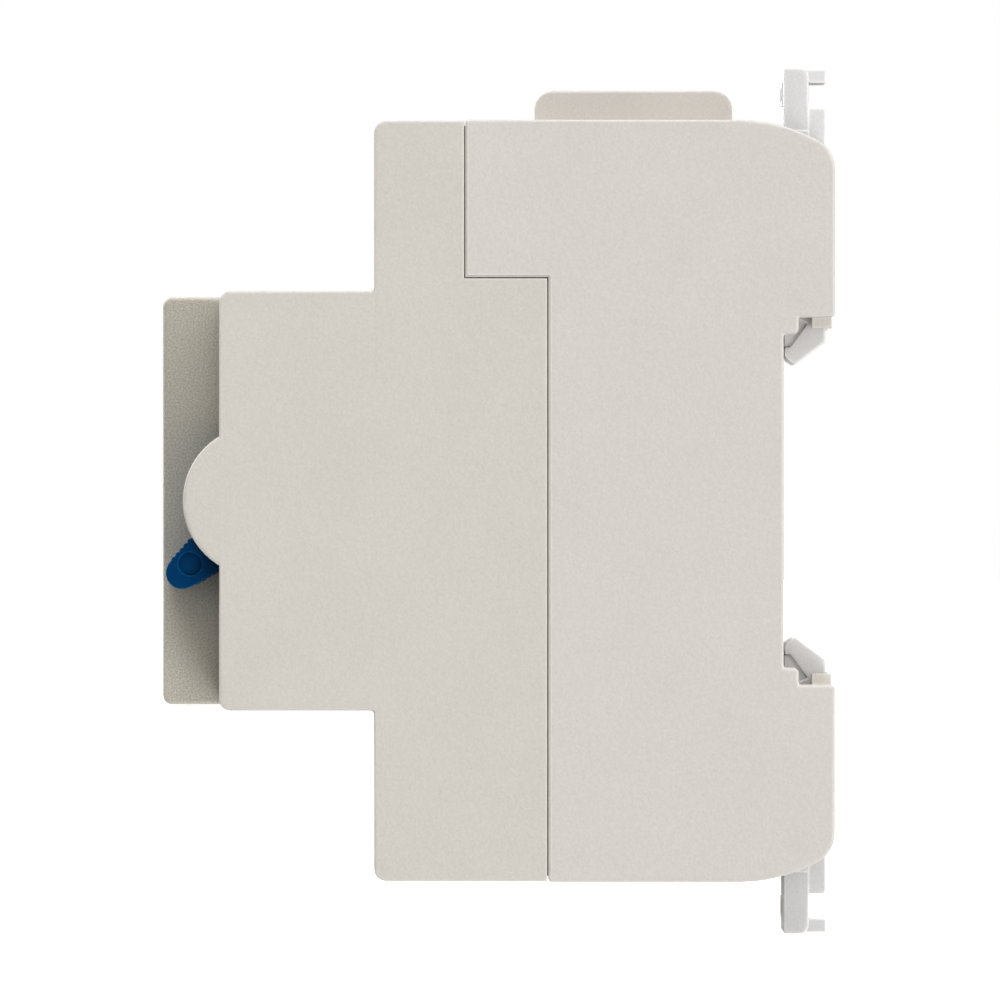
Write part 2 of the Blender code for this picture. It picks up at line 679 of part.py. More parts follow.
def make_rear_base(materials):
    base = prism("base_body", base_outline(), (-HALF_WIDTH, HALF_WIDTH))
    bevel(base)
    cut(base, [
        box("front_of_upper_split", (-FAR, FAR), (-FAR, -UPPER_SPLIT_DEPTH + HALF_SPLIT), (-FAR, FAR)),
        box("front_of_lower_split", (-FAR, FAR), (-FAR, -LOWER_SPLIT_DEPTH + HALF_SPLIT),
            (-FAR, PARTITION_Z)),
        box("mechanism_space", (-INNER_X, INNER_X), (-FAR, -SEAT_FLOOR), (-PARTITION_Z, PARTITION_Z)),
    ])
    centre_wall = 1.2
    entry_y = (-WIRE_ENTRY_DEPTH - WIRE_ENTRY_HEIGHT / 2, -WIRE_ENTRY_DEPTH + WIRE_ENTRY_HEIGHT / 2)
    for _, side in SIDES:
        pole = side * POLE_X
        entry_x = (pole - WIRE_ENTRY_WIDTH / 2, pole + WIRE_ENTRY_WIDTH / 2)
        slot_x = (pole - STRAP_HALF_WIDTH - GAP, pole + STRAP_HALF_WIDTH + GAP)
        cut(base, [box("strap_slot", slot_x, (-FAR, -STRAP_REAR_DEPTH + GAP),
                       (PARTITION_Z - 1.0, CHAMBER_Z + 1.0))])
        for _, level in LEVELS:
            cut(base, [
                box("chamber", across(side, centre_wall, INNER_X), (-FAR, -CHAMBER_FLOOR_DEPTH),
                    across(level, CHAMBER_Z, CHAMBER_END_Z)),
                box("wire_entry", entry_x, entry_y, across(level, CHAMBER_END_Z - 1.0, FAR)),
            ])
    for _, level in LEVELS:
        cut(base, clip_channel_cutters(level))
        for _, side in SIDES:
            cut(base, [box("rear_pocket", across(side, BLOCK_INNER_X + BLOCK_WIDTH, INNER_X),
                           (-5.0, FAR), across(level, 21.9, 36.5))])
    post_floor = -SEAT_FLOOR + 0.1
    join(base, screw_posts("screw_post", (-LOWER_SPLIT_DEPTH + HALF_SPLIT, post_floor)))
    for _, side in SIDES:
        join(base, [box("shaft_post", across(side, *SHAFT_POST_X),
                        (-CARRIER_DEPTH - SHAFT_POST_RISE, post_floor),
                        (CARRIER_Z - POST_HALF_HEIGHT, CARRIER_Z + POST_HALF_HEIGHT))])
        for _, level in LEVELS:
            block_x = across(side, BLOCK_INNER_X, BLOCK_INNER_X + BLOCK_WIDTH)
            join(base, [box("clip_block", block_x, (BLOCK_FRONT, BLOCK_REAR),
                            across(level, BLOCK_INNER_Z, RECESS_HALF_HEIGHT + 2.0))])
    core_bottom = -CORE_DEPTH + CASE_RADIUS
    join(base, [box("core_saddle", (-3.2, 3.2), (core_bottom + GAP, post_floor),
                    (CORE_LOW_Z + 3.0, CORE_LOW_Z + 8.0))])
    rib_top = BASE_HALF_HEIGHT + RIB_HEIGHT
    rib = prism("barrier_rib", rounded([
        (-RIB_FRONT_DEPTH, BASE_HALF_HEIGHT - 0.8),
        (-RIB_REAR_DEPTH, BASE_HALF_HEIGHT - 0.8),
        (-RIB_REAR_DEPTH, rib_top, RIB_ROUND),
        (-RIB_FRONT_DEPTH, rib_top, RIB_ROUND),
    ]), (-RIB_HALF_WIDTH, RIB_HALF_WIDTH))
    bevel(rib, 0.25)
    join(base, [rib])
    cut(base, housing_screw_bore("screw_bore", HOUSING_SCREW_RADIUS + GAP, (-FAR, 3.0)))
    head_top = -HOUSING_SCREW_SUNK - HOUSING_SCREW_HEAD_HEIGHT - GAP
    cut(base, housing_screw_bore("screw_sink", HOUSING_SCREW_HEAD_RADIUS + GAP, (head_top, 3.0)))
    shaft_bore = CARRIER_SHAFT_RADIUS + RUN_GAP
    bore_end = INNER_X - 0.1
    cut(base, [rod("shaft_bore", "X", CARRIER_AXIS, shaft_bore, (-bore_end, bore_end), 16)])
    finish(base, "rear_base", materials["housing"])


def cover_outline():
    half = [
        (-LOWER_SPLIT_DEPTH + 5.0, COVER_HALF_HEIGHT),
        (-SHOULDER_DEPTH, COVER_HALF_HEIGHT, 1.3),
        (-SHOULDER_DEPTH, FRONT_HALF_HEIGHT, 0.3, 2),
        (-FRONT_DEPTH, FRONT_HALF_HEIGHT, 1.2),
    ]
    return rounded(mirrored(half)[::-1])


def make_front_cover(materials):
    cover = prism("cover_body", cover_outline(), (-HALF_WIDTH, HALF_WIDTH))
    bevel(cover)
    cut(cover, [
        box("behind_lower_split", (-FAR, FAR), (-LOWER_SPLIT_DEPTH - HALF_SPLIT, FAR), (-FAR, FAR)),
        box("behind_upper_split", (-FAR, FAR), (-UPPER_SPLIT_DEPTH - HALF_SPLIT, FAR),
            (SPLIT_STEP_Z - HALF_SPLIT, FAR)),
    ])
    panel = prism("panel_body", rounded(mirrored([
        (-SHOULDER_DEPTH - 5.0, PANEL_HALF_HEIGHT),
        (-PANEL_DEPTH, PANEL_HALF_HEIGHT, 1.0),
    ])[::-1]), (-HALF_WIDTH, 0.0))
    bevel(panel)
    ear = rod("ear", "X", LEVER_PIVOT, EAR_RADIUS, (HALF_WIDTH - EAR_THICKNESS, HALF_WIDTH), 64)
    bevel(ear)
    join(cover, [panel, ear])
    front_inner = FRONT_HALF_HEIGHT - FRONT_WALL
    panel_inner = PANEL_HALF_HEIGHT - FRONT_WALL
    cover_inner = COVER_HALF_HEIGHT - WALL
    shoulder_inner = -SHOULDER_DEPTH + FRONT_WALL
    cut(cover, [
        box("front_space", (-INNER_X, LEVER_X[1] + LEVER_SIDE_GAP),
            (-FRONT_DEPTH + FRONT_WALL, -LEVER_DEPTH + EAR_RADIUS + 1.0), (-front_inner, front_inner)),
        box("middle_space", (-INNER_X, INNER_X),
            (-LEVER_DEPTH + EAR_RADIUS + 0.8, shoulder_inner + 1.0), (-front_inner, front_inner)),
        box("shoulder_space", (-INNER_X, INNER_X), (shoulder_inner, -10.0), (-cover_inner, cover_inner)),
        box("panel_space", (-INNER_X, -WALL), (-PANEL_INNER_DEPTH, -FRONT_DEPTH + FRONT_WALL + 0.5),
            (-panel_inner, panel_inner)),
        box("lever_slot", (0.0, LEVER_X[1] + LEVER_SIDE_GAP), (-FRONT_DEPTH - 3.0, -FRONT_DEPTH + 3.0),
            (-DRUM_RADIUS - SLOT_GAP, DRUM_RADIUS + SLOT_GAP)),
    ])
    join(cover, [box("lever_web", (-WALL, 0.0), (-FRONT_DEPTH + 0.5, -WEB_REAR_DEPTH),
                     (-WEB_HALF_HEIGHT, WEB_HALF_HEIGHT))])
    join(cover, screw_posts("cover_post", (-HOUSING_SCREW_REACH - 1.2, -LOWER_SPLIT_DEPTH - HALF_SPLIT)))
    cut(cover, [rod("pin_bore", "X", LEVER_PIVOT, LEVER_PIN_RADIUS + RUN_GAP,
                    (-WALL - 1.0, HALF_WIDTH - WALL / 2), 24)])
    cut(cover, housing_screw_bore("screw_bore", HOUSING_SCREW_RADIUS + GAP,
                                  (-HOUSING_SCREW_REACH - 0.5, 0.0)))
    panel_skin = (-PANEL_DEPTH - 1.0, -PANEL_INNER_DEPTH + 1.0)
    cut(cover, [rod("button_hole", "Y", (BUTTON_Z, PANEL_MID_X), BUTTON_RADIUS + GAP, panel_skin, 32)])
    window_x = WINDOW_HALF_WIDTH
    window_z = WINDOW_HALF_HEIGHT
    rim = WINDOW_RIM + GAP / 2
    cut(cover, [
        box("window_hole", (PANEL_MID_X - window_x, PANEL_MID_X + window_x), panel_skin,
            (WINDOW_Z - window_z, WINDOW_Z + window_z)),
        box("window_ledge", (PANEL_MID_X - window_x - rim, PANEL_MID_X + window_x + rim),
            (-PANEL_DEPTH - 1.0, -PANEL_DEPTH + WINDOW_THICKNESS + GAP),
            (WINDOW_Z - window_z - rim, WINDOW_Z + window_z + rim)),
        box("label_recess", (PANEL_MID_X - LABEL_HALF_WIDTH - GAP, PANEL_MID_X + LABEL_HALF_WIDTH + GAP),
            (-PANEL_DEPTH - 1.0, -PANEL_DEPTH + LABEL_RECESS), (LABEL_LOW_Z - GAP, LABEL_HIGH_Z + GAP)),
    ])
    for _, side in SIDES:
        for _, level in LEVELS:
            centre = (level * TERMINAL_Z, side * POLE_X)
            cut(cover, [rod("screw_access", "Y", centre, SCREW_HEAD_RADIUS + SCREW_ACCESS_GAP,
                            (-SHOULDER_DEPTH - 1.0, shoulder_inner + 0.5), 32)])
    finish(cover, "front_cover", materials["housing"])


def make_housing_screws(materials):
    head_rear = -HOUSING_SCREW_SUNK
    head_front = head_rear - HOUSING_SCREW_HEAD_HEIGHT
    profile = [
        (0.0, head_rear), (HOUSING_SCREW_HEAD_RADIUS, head_rear),
        (HOUSING_SCREW_HEAD_RADIUS, head_front), (HOUSING_SCREW_RADIUS, head_front),
        (HOUSING_SCREW_RADIUS, -HOUSING_SCREW_REACH), (0.0, -HOUSING_SCREW_REACH),
    ]
    for level_name, level in LEVELS:
        for side_name, side in SIDES:
            centre = (level * HOUSING_SCREW_Z, side * HOUSING_SCREW_X)
            screw = turned("screw", "Y", centre, profile, 16)
            cut(screw, screw_recess(centre, head_rear, 1.3, 0.3, 1.0))
            finish(screw, f"housing_screw_{level_name}_{side_name}", materials["zinc"])


def screw_recess(centre, face, half_length, half_width, depth):
    """Two crossed slots cut into a screw head whose axis runs along Y."""
    z, x = centre
    y = tuple(sorted((face - math.copysign(depth, face), face + math.copysign(1.0, face))))
    if abs(face) < SCREW_HEAD_DEPTH / 2:
        y = (face - depth, face + 1.0)
    return [
        box("recess", (x - half_length, x + half_length), y, (z - half_width, z + half_width)),
        box("recess", (x - half_width, x + half_width), y, (z - half_length, z + half_length)),
    ]


# ---------------------------------------------------------------- front panel fittings


def make_label(materials):
    front = -PANEL_DEPTH + LABEL_RECESS - LABEL_THICKNESS
    label = box("label", (PANEL_MID_X - LABEL_HALF_WIDTH, PANEL_MID_X + LABEL_HALF_WIDTH),
                (front - GAP / 3, -PANEL_DEPTH + LABEL_RECESS - GAP / 3), (LABEL_LOW_Z, LABEL_HIGH_Z))
    finish(label, "rating_label", materials["label"])


def make_indicator(materials):
    half_x = WINDOW_HALF_WIDTH + WINDOW_RIM - GAP / 2
    half_z = WINDOW_HALF_HEIGHT + WINDOW_RIM - GAP / 2
    window = box("window", (PANEL_MID_X - half_x, PANEL_MID_X + half_x),
                 (-PANEL_DEPTH, -PANEL_DEPTH + WINDOW_THICKNESS), (WINDOW_Z - half_z, WINDOW_Z + half_z))
    bevel(window, 0.15)
    finish(window, "indicator_window", materials["window_clear"])

    low = window_angle(WINDOW_Z - half_z) + FLAG_SWING
    high = window_angle(WINDOW_Z + half_z)
    middle = (low + high) / 2
    inner = FLAG_RADIUS - FLAG_THICKNESS
    band = arc(LEVER_PIVOT, FLAG_RADIUS, high, low, 12) + arc(LEVER_PIVOT, inner, low, high, 12)
    flag = prism("flag", band, FLAG_X)
    spoke = arc(LEVER_PIVOT, FLAG_RADIUS - FLAG_THICKNESS / 2, middle - 12.0, middle + 12.0, 6)
    spoke += arc(LEVER_PIVOT, FLAG_HUB_RADIUS / 2, middle + 70.0, middle - 70.0, 6)
    join(flag, [
        prism("spoke", spoke, (FLAG_X[1] - FLAG_THICKNESS, FLAG_X[1])),
        rod("hub", "X", LEVER_PIVOT, FLAG_HUB_RADIUS, (FLAG_X[1] - FLAG_HUB_LENGTH, FLAG_X[1] - 0.05), 24),
    ])
    cut(flag, [rod("pin_bore", "X", LEVER_PIVOT, LEVER_PIN_RADIUS + RUN_GAP, (-FAR, FAR), 24)])
    finish(flag, "indicator_flag", materials["flag_green"], (PANEL_MID_X, *LEVER_PIVOT))


def window_angle(z):
    """Direction from the lever pivot to the flag's face at a height, in degrees."""
    return 180.0 - math.degrees(math.asin(z / FLAG_RADIUS))


def stem_end():
    """Place of the test button's stem end when the button is out."""
    return -BOARD_DEPTH + BOARD_THICKNESS / 2


def make_test_button(materials):
    centre = (BUTTON_Z, PANEL_MID_X)
    flange_front = -PANEL_INNER_DEPTH + GAP
    flange_rear = flange_front + BUTTON_FLANGE_HEIGHT
    stem_rear = stem_end()
    face = -PANEL_DEPTH + BUTTON_SUNK
    button = turned("button", "Y", centre, [
        (0.0, stem_rear), (BUTTON_STEM_RADIUS, stem_rear), (BUTTON_STEM_RADIUS, flange_rear),
        (BUTTON_FLANGE_RADIUS, flange_rear), (BUTTON_FLANGE_RADIUS, flange_front),
        (BUTTON_RADIUS, flange_front), (BUTTON_RADIUS, face + 0.5), (BUTTON_RADIUS - 0.15, face + 0.15),
        (BUTTON_RADIUS - 0.5, face), (0.0, face + 0.25),
    ], 32)
    finish(button, "test_button", materials["button_grey"], (PANEL_MID_X, face, BUTTON_Z))
    clear = BUTTON_SPRING_WIRE + GAP
    coil = helix(5, 10, BUTTON_SPRING_RADIUS, flange_rear + clear, -BOARD_DEPTH - clear)
    points = [(PANEL_MID_X + v, along, BUTTON_Z + u) for along, u, v in coil]
    finish(wire("coil", points, BUTTON_SPRING_WIRE), "test_button_spring", materials["spring_steel"])


def make_circuit_board(materials):
    rear = -BOARD_DEPTH + BOARD_THICKNESS
    board = box("board", BOARD_X, (-BOARD_DEPTH, rear),
                (-FRONT_HALF_HEIGHT + FRONT_WALL + GAP, BOARD_TOP_Z))
    hole = rod("stem_hole", "Y", (BUTTON_Z, PANEL_MID_X), BUTTON_STEM_RADIUS + GAP,
               (-BOARD_DEPTH - 1.0, rear + 1.0), 16)
    cut(board, [hole])
    finish(board, "circuit_board", materials["board_green"])

    foot = rear + GAP
    contact = stem_end() + BUTTON_TRAVEL + RUN_GAP
    left, right = BLADE_X
    bend = BLADE_THICKNESS
    blade = prism("blade", [
        (left, foot), (left + 5 * bend, foot), (left + 6 * bend, contact), (right, contact),
        (right, contact + bend), (left + 5.2 * bend, contact + bend), (left + 4.2 * bend, foot + bend),
        (left, foot + bend),
    ], (BUTTON_Z - BLADE_HALF_WIDTH, BUTTON_Z + BLADE_HALF_WIDTH), "Z")
    finish(blade, "test_contact", materials["copper"])

    middle = (BOARD_X[0] + BOARD_X[1]) / 2
    z = BOARD_TOP_Z - RESISTOR_RADIUS - 2 * GAP
    y = foot + RESISTOR_RADIUS + GAP
    half_body = RESISTOR_HALF_LENGTH
    half_lead = half_body + 3 * RESISTOR_LEAD
    body = rod("body", "X", (y, z), RESISTOR_RADIUS, (middle - half_body, middle + half_body), 16)
    leads = [rod("lead", "X", (y, z), RESISTOR_LEAD, (middle - half_lead, middle + half_lead), 8)]
    for x in (middle - half_lead, middle + half_lead):
        leads.append(box("lead_leg", (x - RESISTOR_LEAD, x + RESISTOR_LEAD),
                         (foot, y + RESISTOR_LEAD), (z - RESISTOR_LEAD, z + RESISTOR_LEAD)))
    join(body, leads)
    finish(body, "test_resistor", materials["case_amber"])


# ---------------------------------------------------------------- toggle lever


def handle_flank(side):
    """Flank of the handle from its root to its tip; side is 1 below and -1 above when off."""
    taper = math.radians(LOWER_FLANK_TAPER if side > 0 else UPPER_FLANK_TAPER)
    tip_half = HANDLE_TIP_RADIUS / math.cos(taper)
    tip_end = HANDLE_LENGTH + HANDLE_TIP_RADIUS * math.sin(taper)
    root = DRUM_RADIUS * 0.94
    points = [(root, tip_half + (HANDLE_LENGTH - root) * math.tan(taper))]
    grip_start = DRUM_RADIUS + 0.7
    pitch = (HANDLE_LENGTH - grip_start) / GRIP_TEETH
    for tooth in range(GRIP_TEETH):
        start = grip_start + tooth * pitch
        for share, rise in ((0.0, 0.0), (0.25, 1.0), (0.6, 1.0), (0.85, 0.0)):
            along = start + share * pitch
            half = tip_half + (HANDLE_LENGTH - along) * math.tan(taper)
            points.append((along, half + rise * GRIP_TOOTH_HEIGHT))
    points.append((tip_end, HANDLE_TIP_RADIUS * math.cos(taper)))
    turn = math.radians(HANDLE_ANGLE)
    placed = []
    for along, offset in points:
        u = along * math.cos(turn) - side * offset * math.sin(turn)
        v = along * math.sin(turn) + side * offset * math.cos(turn)
        placed.append((LEVER_PIVOT[0] + u, LEVER_PIVOT[1] + v))
    return placed


def pivot_angle(point):
    """Direction of a point from the lever pivot, in degrees from 0 to 360."""
    angle = math.atan2(point[1] - LEVER_PIVOT[1], point[0] - LEVER_PIVOT[0])
    return math.degrees(angle) % 360.0


def lever_outline():
    """Drum, hub and handle seen along the pivot, in the off position."""
    open_start = HANDLE_ANGLE + 180.0 - DRUM_OPENING / 2
    open_end = HANDLE_ANGLE + 180.0 + DRUM_OPENING / 2
    upper_flank = handle_flank(-1)
    lower_flank = handle_flank(1)
    upper_root = pivot_angle(upper_flank[0]) - 1.5
    lower_root = pivot_angle(lower_flank[0]) + 1.5
    tip = polar(LEVER_PIVOT, HANDLE_LENGTH, HANDLE_ANGLE)
    outline = arc(LEVER_PIVOT, DRUM_RADIUS, open_end - 360.0, upper_root, 14)
    outline += upper_flank
    outline += arc(tip, HANDLE_TIP_RADIUS, HANDLE_ANGLE - 72.0, HANDLE_ANGLE + 72.0, 8)
    outline += lower_flank[::-1]
    outline += arc(LEVER_PIVOT, DRUM_RADIUS, lower_root, open_start, 14)
    outline += arc(LEVER_PIVOT, LEVER_HUB_RADIUS, open_start, open_end, 12)
    return outline


def make_toggle_lever(materials):
    lever = prism("lever_body", lever_outline(), LEVER_X)
    bevel(lever, 0.2, 1)
    tail_hole = polar(LEVER_PIVOT, TAIL_RADIUS, TAIL_ANGLE)
    join(lever, [bar("tail", LEVER_PIVOT, tail_hole, TAIL_EYE_RADIUS, TAIL_X)])
    dimple = polar(LEVER_PIVOT, HANDLE_LENGTH - DIMPLE_RADIUS, HANDLE_ANGLE - DIMPLE_TURN)
    link_bore = (TAIL_X[0] - 1.0, TAIL_X[1] + 1.0)
    cut(lever, [
        rod("pin_bore", "X", LEVER_PIVOT, LEVER_PIN_RADIUS + RUN_GAP, (-1.0, HALF_WIDTH), 24),
        rod("link_bore", "X", tail_hole, LINK_WIRE_RADIUS + RUN_GAP, link_bore, 12),
        rod("dimple", "X", dimple, DIMPLE_RADIUS, (LEVER_X[1] - DIMPLE_DEPTH, HALF_WIDTH), 32),
    ])
    finish(lever, "toggle_lever", materials["lever_blue"], (0.0, *LEVER_PIVOT))

    finish(rod("pin", "X", LEVER_PIVOT, LEVER_PIN_RADIUS, PIN_X, 24), "lever_pin", materials["steel"])
    start = -WALL - LEVER_SPRING_WIRE - 1.3 * GAP
    coil = helix(4, 10, LEVER_SPRING_RADIUS, start, start - LEVER_SPRING_LENGTH)
    points = [(x, LEVER_PIVOT[0] + u, LEVER_PIVOT[1] + v) for x, u, v in coil]
    points.append((points[-1][0], points[-1][1], points[-1][2] + 1.5 * LEVER_SPRING_RADIUS))
    finish(wire("coil", points, LEVER_SPRING_WIRE), "lever_spring", materials["spring_steel"])


def link_ends():
    """Places of the two ends of the link in the off position."""
    start = polar(LEVER_PIVOT, TAIL_RADIUS, TAIL_ANGLE)
    end = polar(CARRIER_AXIS, CRANK_RADIUS, 180.0 - CARRIER_HALF_SWING)
    return start, end


def make_toggle_link(materials):
    start, end = link_ends()
    inner = TAIL_X[0] + RUN_GAP
    outer = TAIL_X[1] + LINK_WIRE_RADIUS + GAP
    bend = LINK_BEND
    heading = (Vector(end) - Vector(start)).normalized() * bend
    points = [
        (inner, *start), (outer - bend, *start),
        (outer - bend * 0.3, *(Vector(start) + heading * 0.3)), (outer, *(Vector(start) + heading)),
        (outer, *(Vector(end) - heading)), (outer - bend * 0.3, *(Vector(end) - heading * 0.3)),
        (outer - bend, *end), (inner, *end),
    ]
    finish(wire("link", points, LINK_WIRE_RADIUS), "toggle_link", materials["steel"], (0.0, *start))


# ---------------------------------------------------------------- contacts


def rest_turn(obj, name, material):
    """Finish a piece drawn in the closed position and turn it open about the carrier shaft."""
    finish(obj, name, material, (0.0, *CARRIER_AXIS))
    obj.rotation_euler = (math.radians(-2 * CARRIER_HALF_SWING), 0.0, 0.0)


def make_contact_carrier(materials):
    depth, height = CARRIER_AXIS
    hub_left = -SHAFT_POST_X[0] + OPENING_SPRING_LENGTH + 2 * OPENING_SPRING_WIRE + 1.5 * GAP
    hub = rod("hub", "X", CARRIER_AXIS, CARRIER_RADIUS, (hub_left, SHAFT_POST_X[0] - GAP), 32)
    crank_angle = 180.0 + CARRIER_HALF_SWING
    slot_half = LINK_WIRE_RADIUS + LINK_SLOT_GAP
    slide = TAIL_RADIUS * (1 - math.cos(math.radians(HALF_SWING)))
    slide += CRANK_RADIUS * (1 - math.cos(math.radians(CARRIER_HALF_SWING)))
    slot_start = polar(CARRIER_AXIS, CRANK_RADIUS - slide, crank_angle)
    slot_end = polar(CARRIER_AXIS, CRANK_RADIUS, crank_angle)
    join(hub, [bar("crank", CARRIER_AXIS, slot_end, slot_half + CRANK_RIM, TAIL_X)])
    front = depth - BACKING_DEPTH
    arm_gap = ARM_THICKNESS / 2 + GAP
    for _, side in SIDES:
        pole = side * POLE_X
        ear_half = ARM_HALF_WIDTH + BACKING_RIM
        ear_x = (pole - ear_half, pole + ear_half)
        join(hub, [
            box("backing", ear_x, (front, front + BACKING_THICKNESS),
                (height - BACKING_LENGTH, height + BRIDGE_HALF_HEIGHT / 2 + 0.1)),
            box("bridge", ear_x, (front + 0.1, depth - CARRIER_RADIUS / 2),
                (height - BRIDGE_HALF_HEIGHT, height + BRIDGE_HALF_HEIGHT / 2)),
        ])
        slot_x = (pole - ARM_HALF_WIDTH - GAP, pole + ARM_HALF_WIDTH + GAP)
        cut(hub, [box("arm_slot", slot_x, (depth - arm_gap, depth + arm_gap),
                      (height - CARRIER_RADIUS - 1.0, height - ARM_ROOT + GAP))])
    cut(hub, [
        bar("crank_slot", slot_start, slot_end, slot_half, (TAIL_X[0] - 1.0, TAIL_X[1] + 1.0)),
        rod("shaft_bore", "X", CARRIER_AXIS, CARRIER_SHAFT_RADIUS + RUN_GAP, (-FAR, FAR), 16),
    ])
    rest_turn(hub, "contact_carrier", materials["carrier_black"])

    shaft_x = (-SHAFT_HALF_LENGTH, SHAFT_HALF_LENGTH)
    shaft = rod("shaft", "X", CARRIER_AXIS, CARRIER_SHAFT_RADIUS, shaft_x, 16)
    finish(shaft, "carrier_shaft", materials["steel"])
    start = -SHAFT_POST_X[0] + OPENING_SPRING_WIRE + GAP
    coil = helix(3, 10, OPENING_SPRING_RADIUS, start, start + OPENING_SPRING_LENGTH)
    points = [(x, depth + u, height + v) for x, u, v in coil]
    finish(wire("coil", points, OPENING_SPRING_WIRE), "opening_spring", materials["spring_steel"])


def make_moving_contacts(materials):
    depth, height = CARRIER_AXIS
    back = ARM_FACE - ARM_THICKNESS
    clear = CONTACT_SPRING_WIRE + GAP
    for side_name, side in SIDES:
        pole = side * POLE_X
        arm = box("arm", (pole - ARM_HALF_WIDTH, pole + ARM_HALF_WIDTH), (back, ARM_FACE),
                  (height - ARM_LENGTH, height - ARM_ROOT))
        join(arm, [rod("tip", "Y", (ARM_TIP_Z, pole), CONTACT_TIP_RADIUS,
                       (ARM_FACE - 0.2, ARM_FACE + CONTACT_TIP_HEIGHT))])
        rest_turn(arm, f"moving_contact_{side_name}", materials["copper"])
        start = depth - BACKING_DEPTH + BACKING_THICKNESS + clear
        coil = helix(3, 8, CONTACT_SPRING_RADIUS, start, back - clear)
        points = [(pole + v, along, height - CONTACT_SPRING_ARM + u) for along, u, v in coil]
        spring = wire("coil", points, CONTACT_SPRING_WIRE)
        rest_turn(spring, f"contact_spring_{side_name}", materials["spring_steel"])


def make_straps(materials):
    y = (-STRAP_DEPTH, -STRAP_REAR_DEPTH)
    reach = TERMINAL_Z + CAGE_HALF_LENGTH - CAGE_OPEN_GAP
    for side_name, side in SIDES:
        pole = side * POLE_X
        x = (pole - STRAP_HALF_WIDTH, pole + STRAP_HALF_WIDTH)
        upper = box("upper", x, y, (PARTITION_Z - 2.6, reach))
        finish(upper, f"upper_strap_{side_name}", materials["copper"])
        lower = box("lower", x, y, (-reach, ARM_TIP_Z + CONTACT_TIP_RADIUS + 0.5))
        join(lower, [rod("tip", "Y", (ARM_TIP_Z, pole), CONTACT_TIP_RADIUS,
                         (-STRAP_DEPTH - CONTACT_TIP_HEIGHT, -STRAP_DEPTH + 0.2))])
        finish(lower, f"lower_strap_{side_name}", materials["copper"])


# ---------------------------------------------------------------- current transformer and trip


def make_current_transformer(materials):
    centre = (0.0, -CORE_DEPTH)
    low = CORE_LOW_Z
    high = CORE_LOW_Z + CORE_HEIGHT
    case = turned("case", "Z", centre, [
        (CASE_RADIUS, high), (CASE_RADIUS, low), (CASE_BORE_RADIUS, low), (CASE_BORE_RADIUS, high),
        (CASE_BORE_RADIUS + CASE_WALL, high), (CASE_BORE_RADIUS + CASE_WALL, low + CASE_WALL),
        (CASE_RADIUS - CASE_WALL, low + CASE_WALL), (CASE_RADIUS - CASE_WALL, high),
    ], 32)
    finish(case, "core_case", materials["case_amber"])
    outer = CASE_RADIUS - CASE_WALL - GAP
    inner = CASE_BORE_RADIUS + CASE_WALL + GAP
    floor = low + CASE_WALL + GAP
    top = high - CASE_WALL
    profile = [(outer, top), (outer, floor), (inner, floor), (inner, top)]
    core = turned("core", "Z", centre, profile, 32)
    finish(core, "core_ring", materials["core_dark"])

    clear = WINDING_WIRE_RADIUS + GAP
    corners = [
        (CASE_RADIUS + clear, low), (CASE_RADIUS + clear, high),
        (CASE_RADIUS, high + clear), (CASE_BORE_RADIUS, high + clear),
        (CASE_BORE_RADIUS - clear, high), (CASE_BORE_RADIUS - clear, low),
        (CASE_BORE_RADIUS, low - clear), (CASE_RADIUS, low - clear),
    ]
    points = []
    count = WINDING_TURNS * len(corners)
    for step in range(count):
        angle = math.radians(90.0 + (360.0 - WINDING_ARC) / 2 + WINDING_ARC * step / count)
        radius, z = corners[step % len(corners)]
        points.append((radius * math.cos(angle), -CORE_DEPTH + radius * math.sin(angle), z))
    finish(wire("winding", points, WINDING_WIRE_RADIUS), "secondary_winding", materials["copper"])


def make_primary_conductors(materials):
    strap_clear = -STRAP_REAR_DEPTH + CONDUCTOR_RADIUS + GAP
    hub_clear = -CARRIER_DEPTH + CARRIER_RADIUS + GAP
    high = CORE_LOW_Z + CORE_HEIGHT
    for side_name, side in SIDES:
        pole = side * POLE_X
        inner = side * CONDUCTOR_SPACING
        points = [
            (pole, strap_clear, PARTITION_Z - 0.4), (pole, strap_clear + 0.2, PARTITION_Z - 2.4),
            ((pole + inner) / 2, -18.4, high + 5.0), (inner, -CORE_DEPTH - 0.6, high + 3.0),
            (inner, -CORE_DEPTH, high - 1.0), (inner, -CORE_DEPTH, CORE_LOW_Z + 1.0),
            (inner, -CORE_DEPTH - 0.4, CORE_LOW_Z - 2.4), ((pole + inner) / 2, -16.5, CORE_LOW_Z - 6.0),
            (pole, -20.6, CARRIER_Z + 1.6), (pole, hub_clear, CARRIER_Z),
        ]
        tube = wire("conductor", points, CONDUCTOR_RADIUS, 2, True)
        finish(tube, f"primary_conductor_{side_name}", materials["copper"])


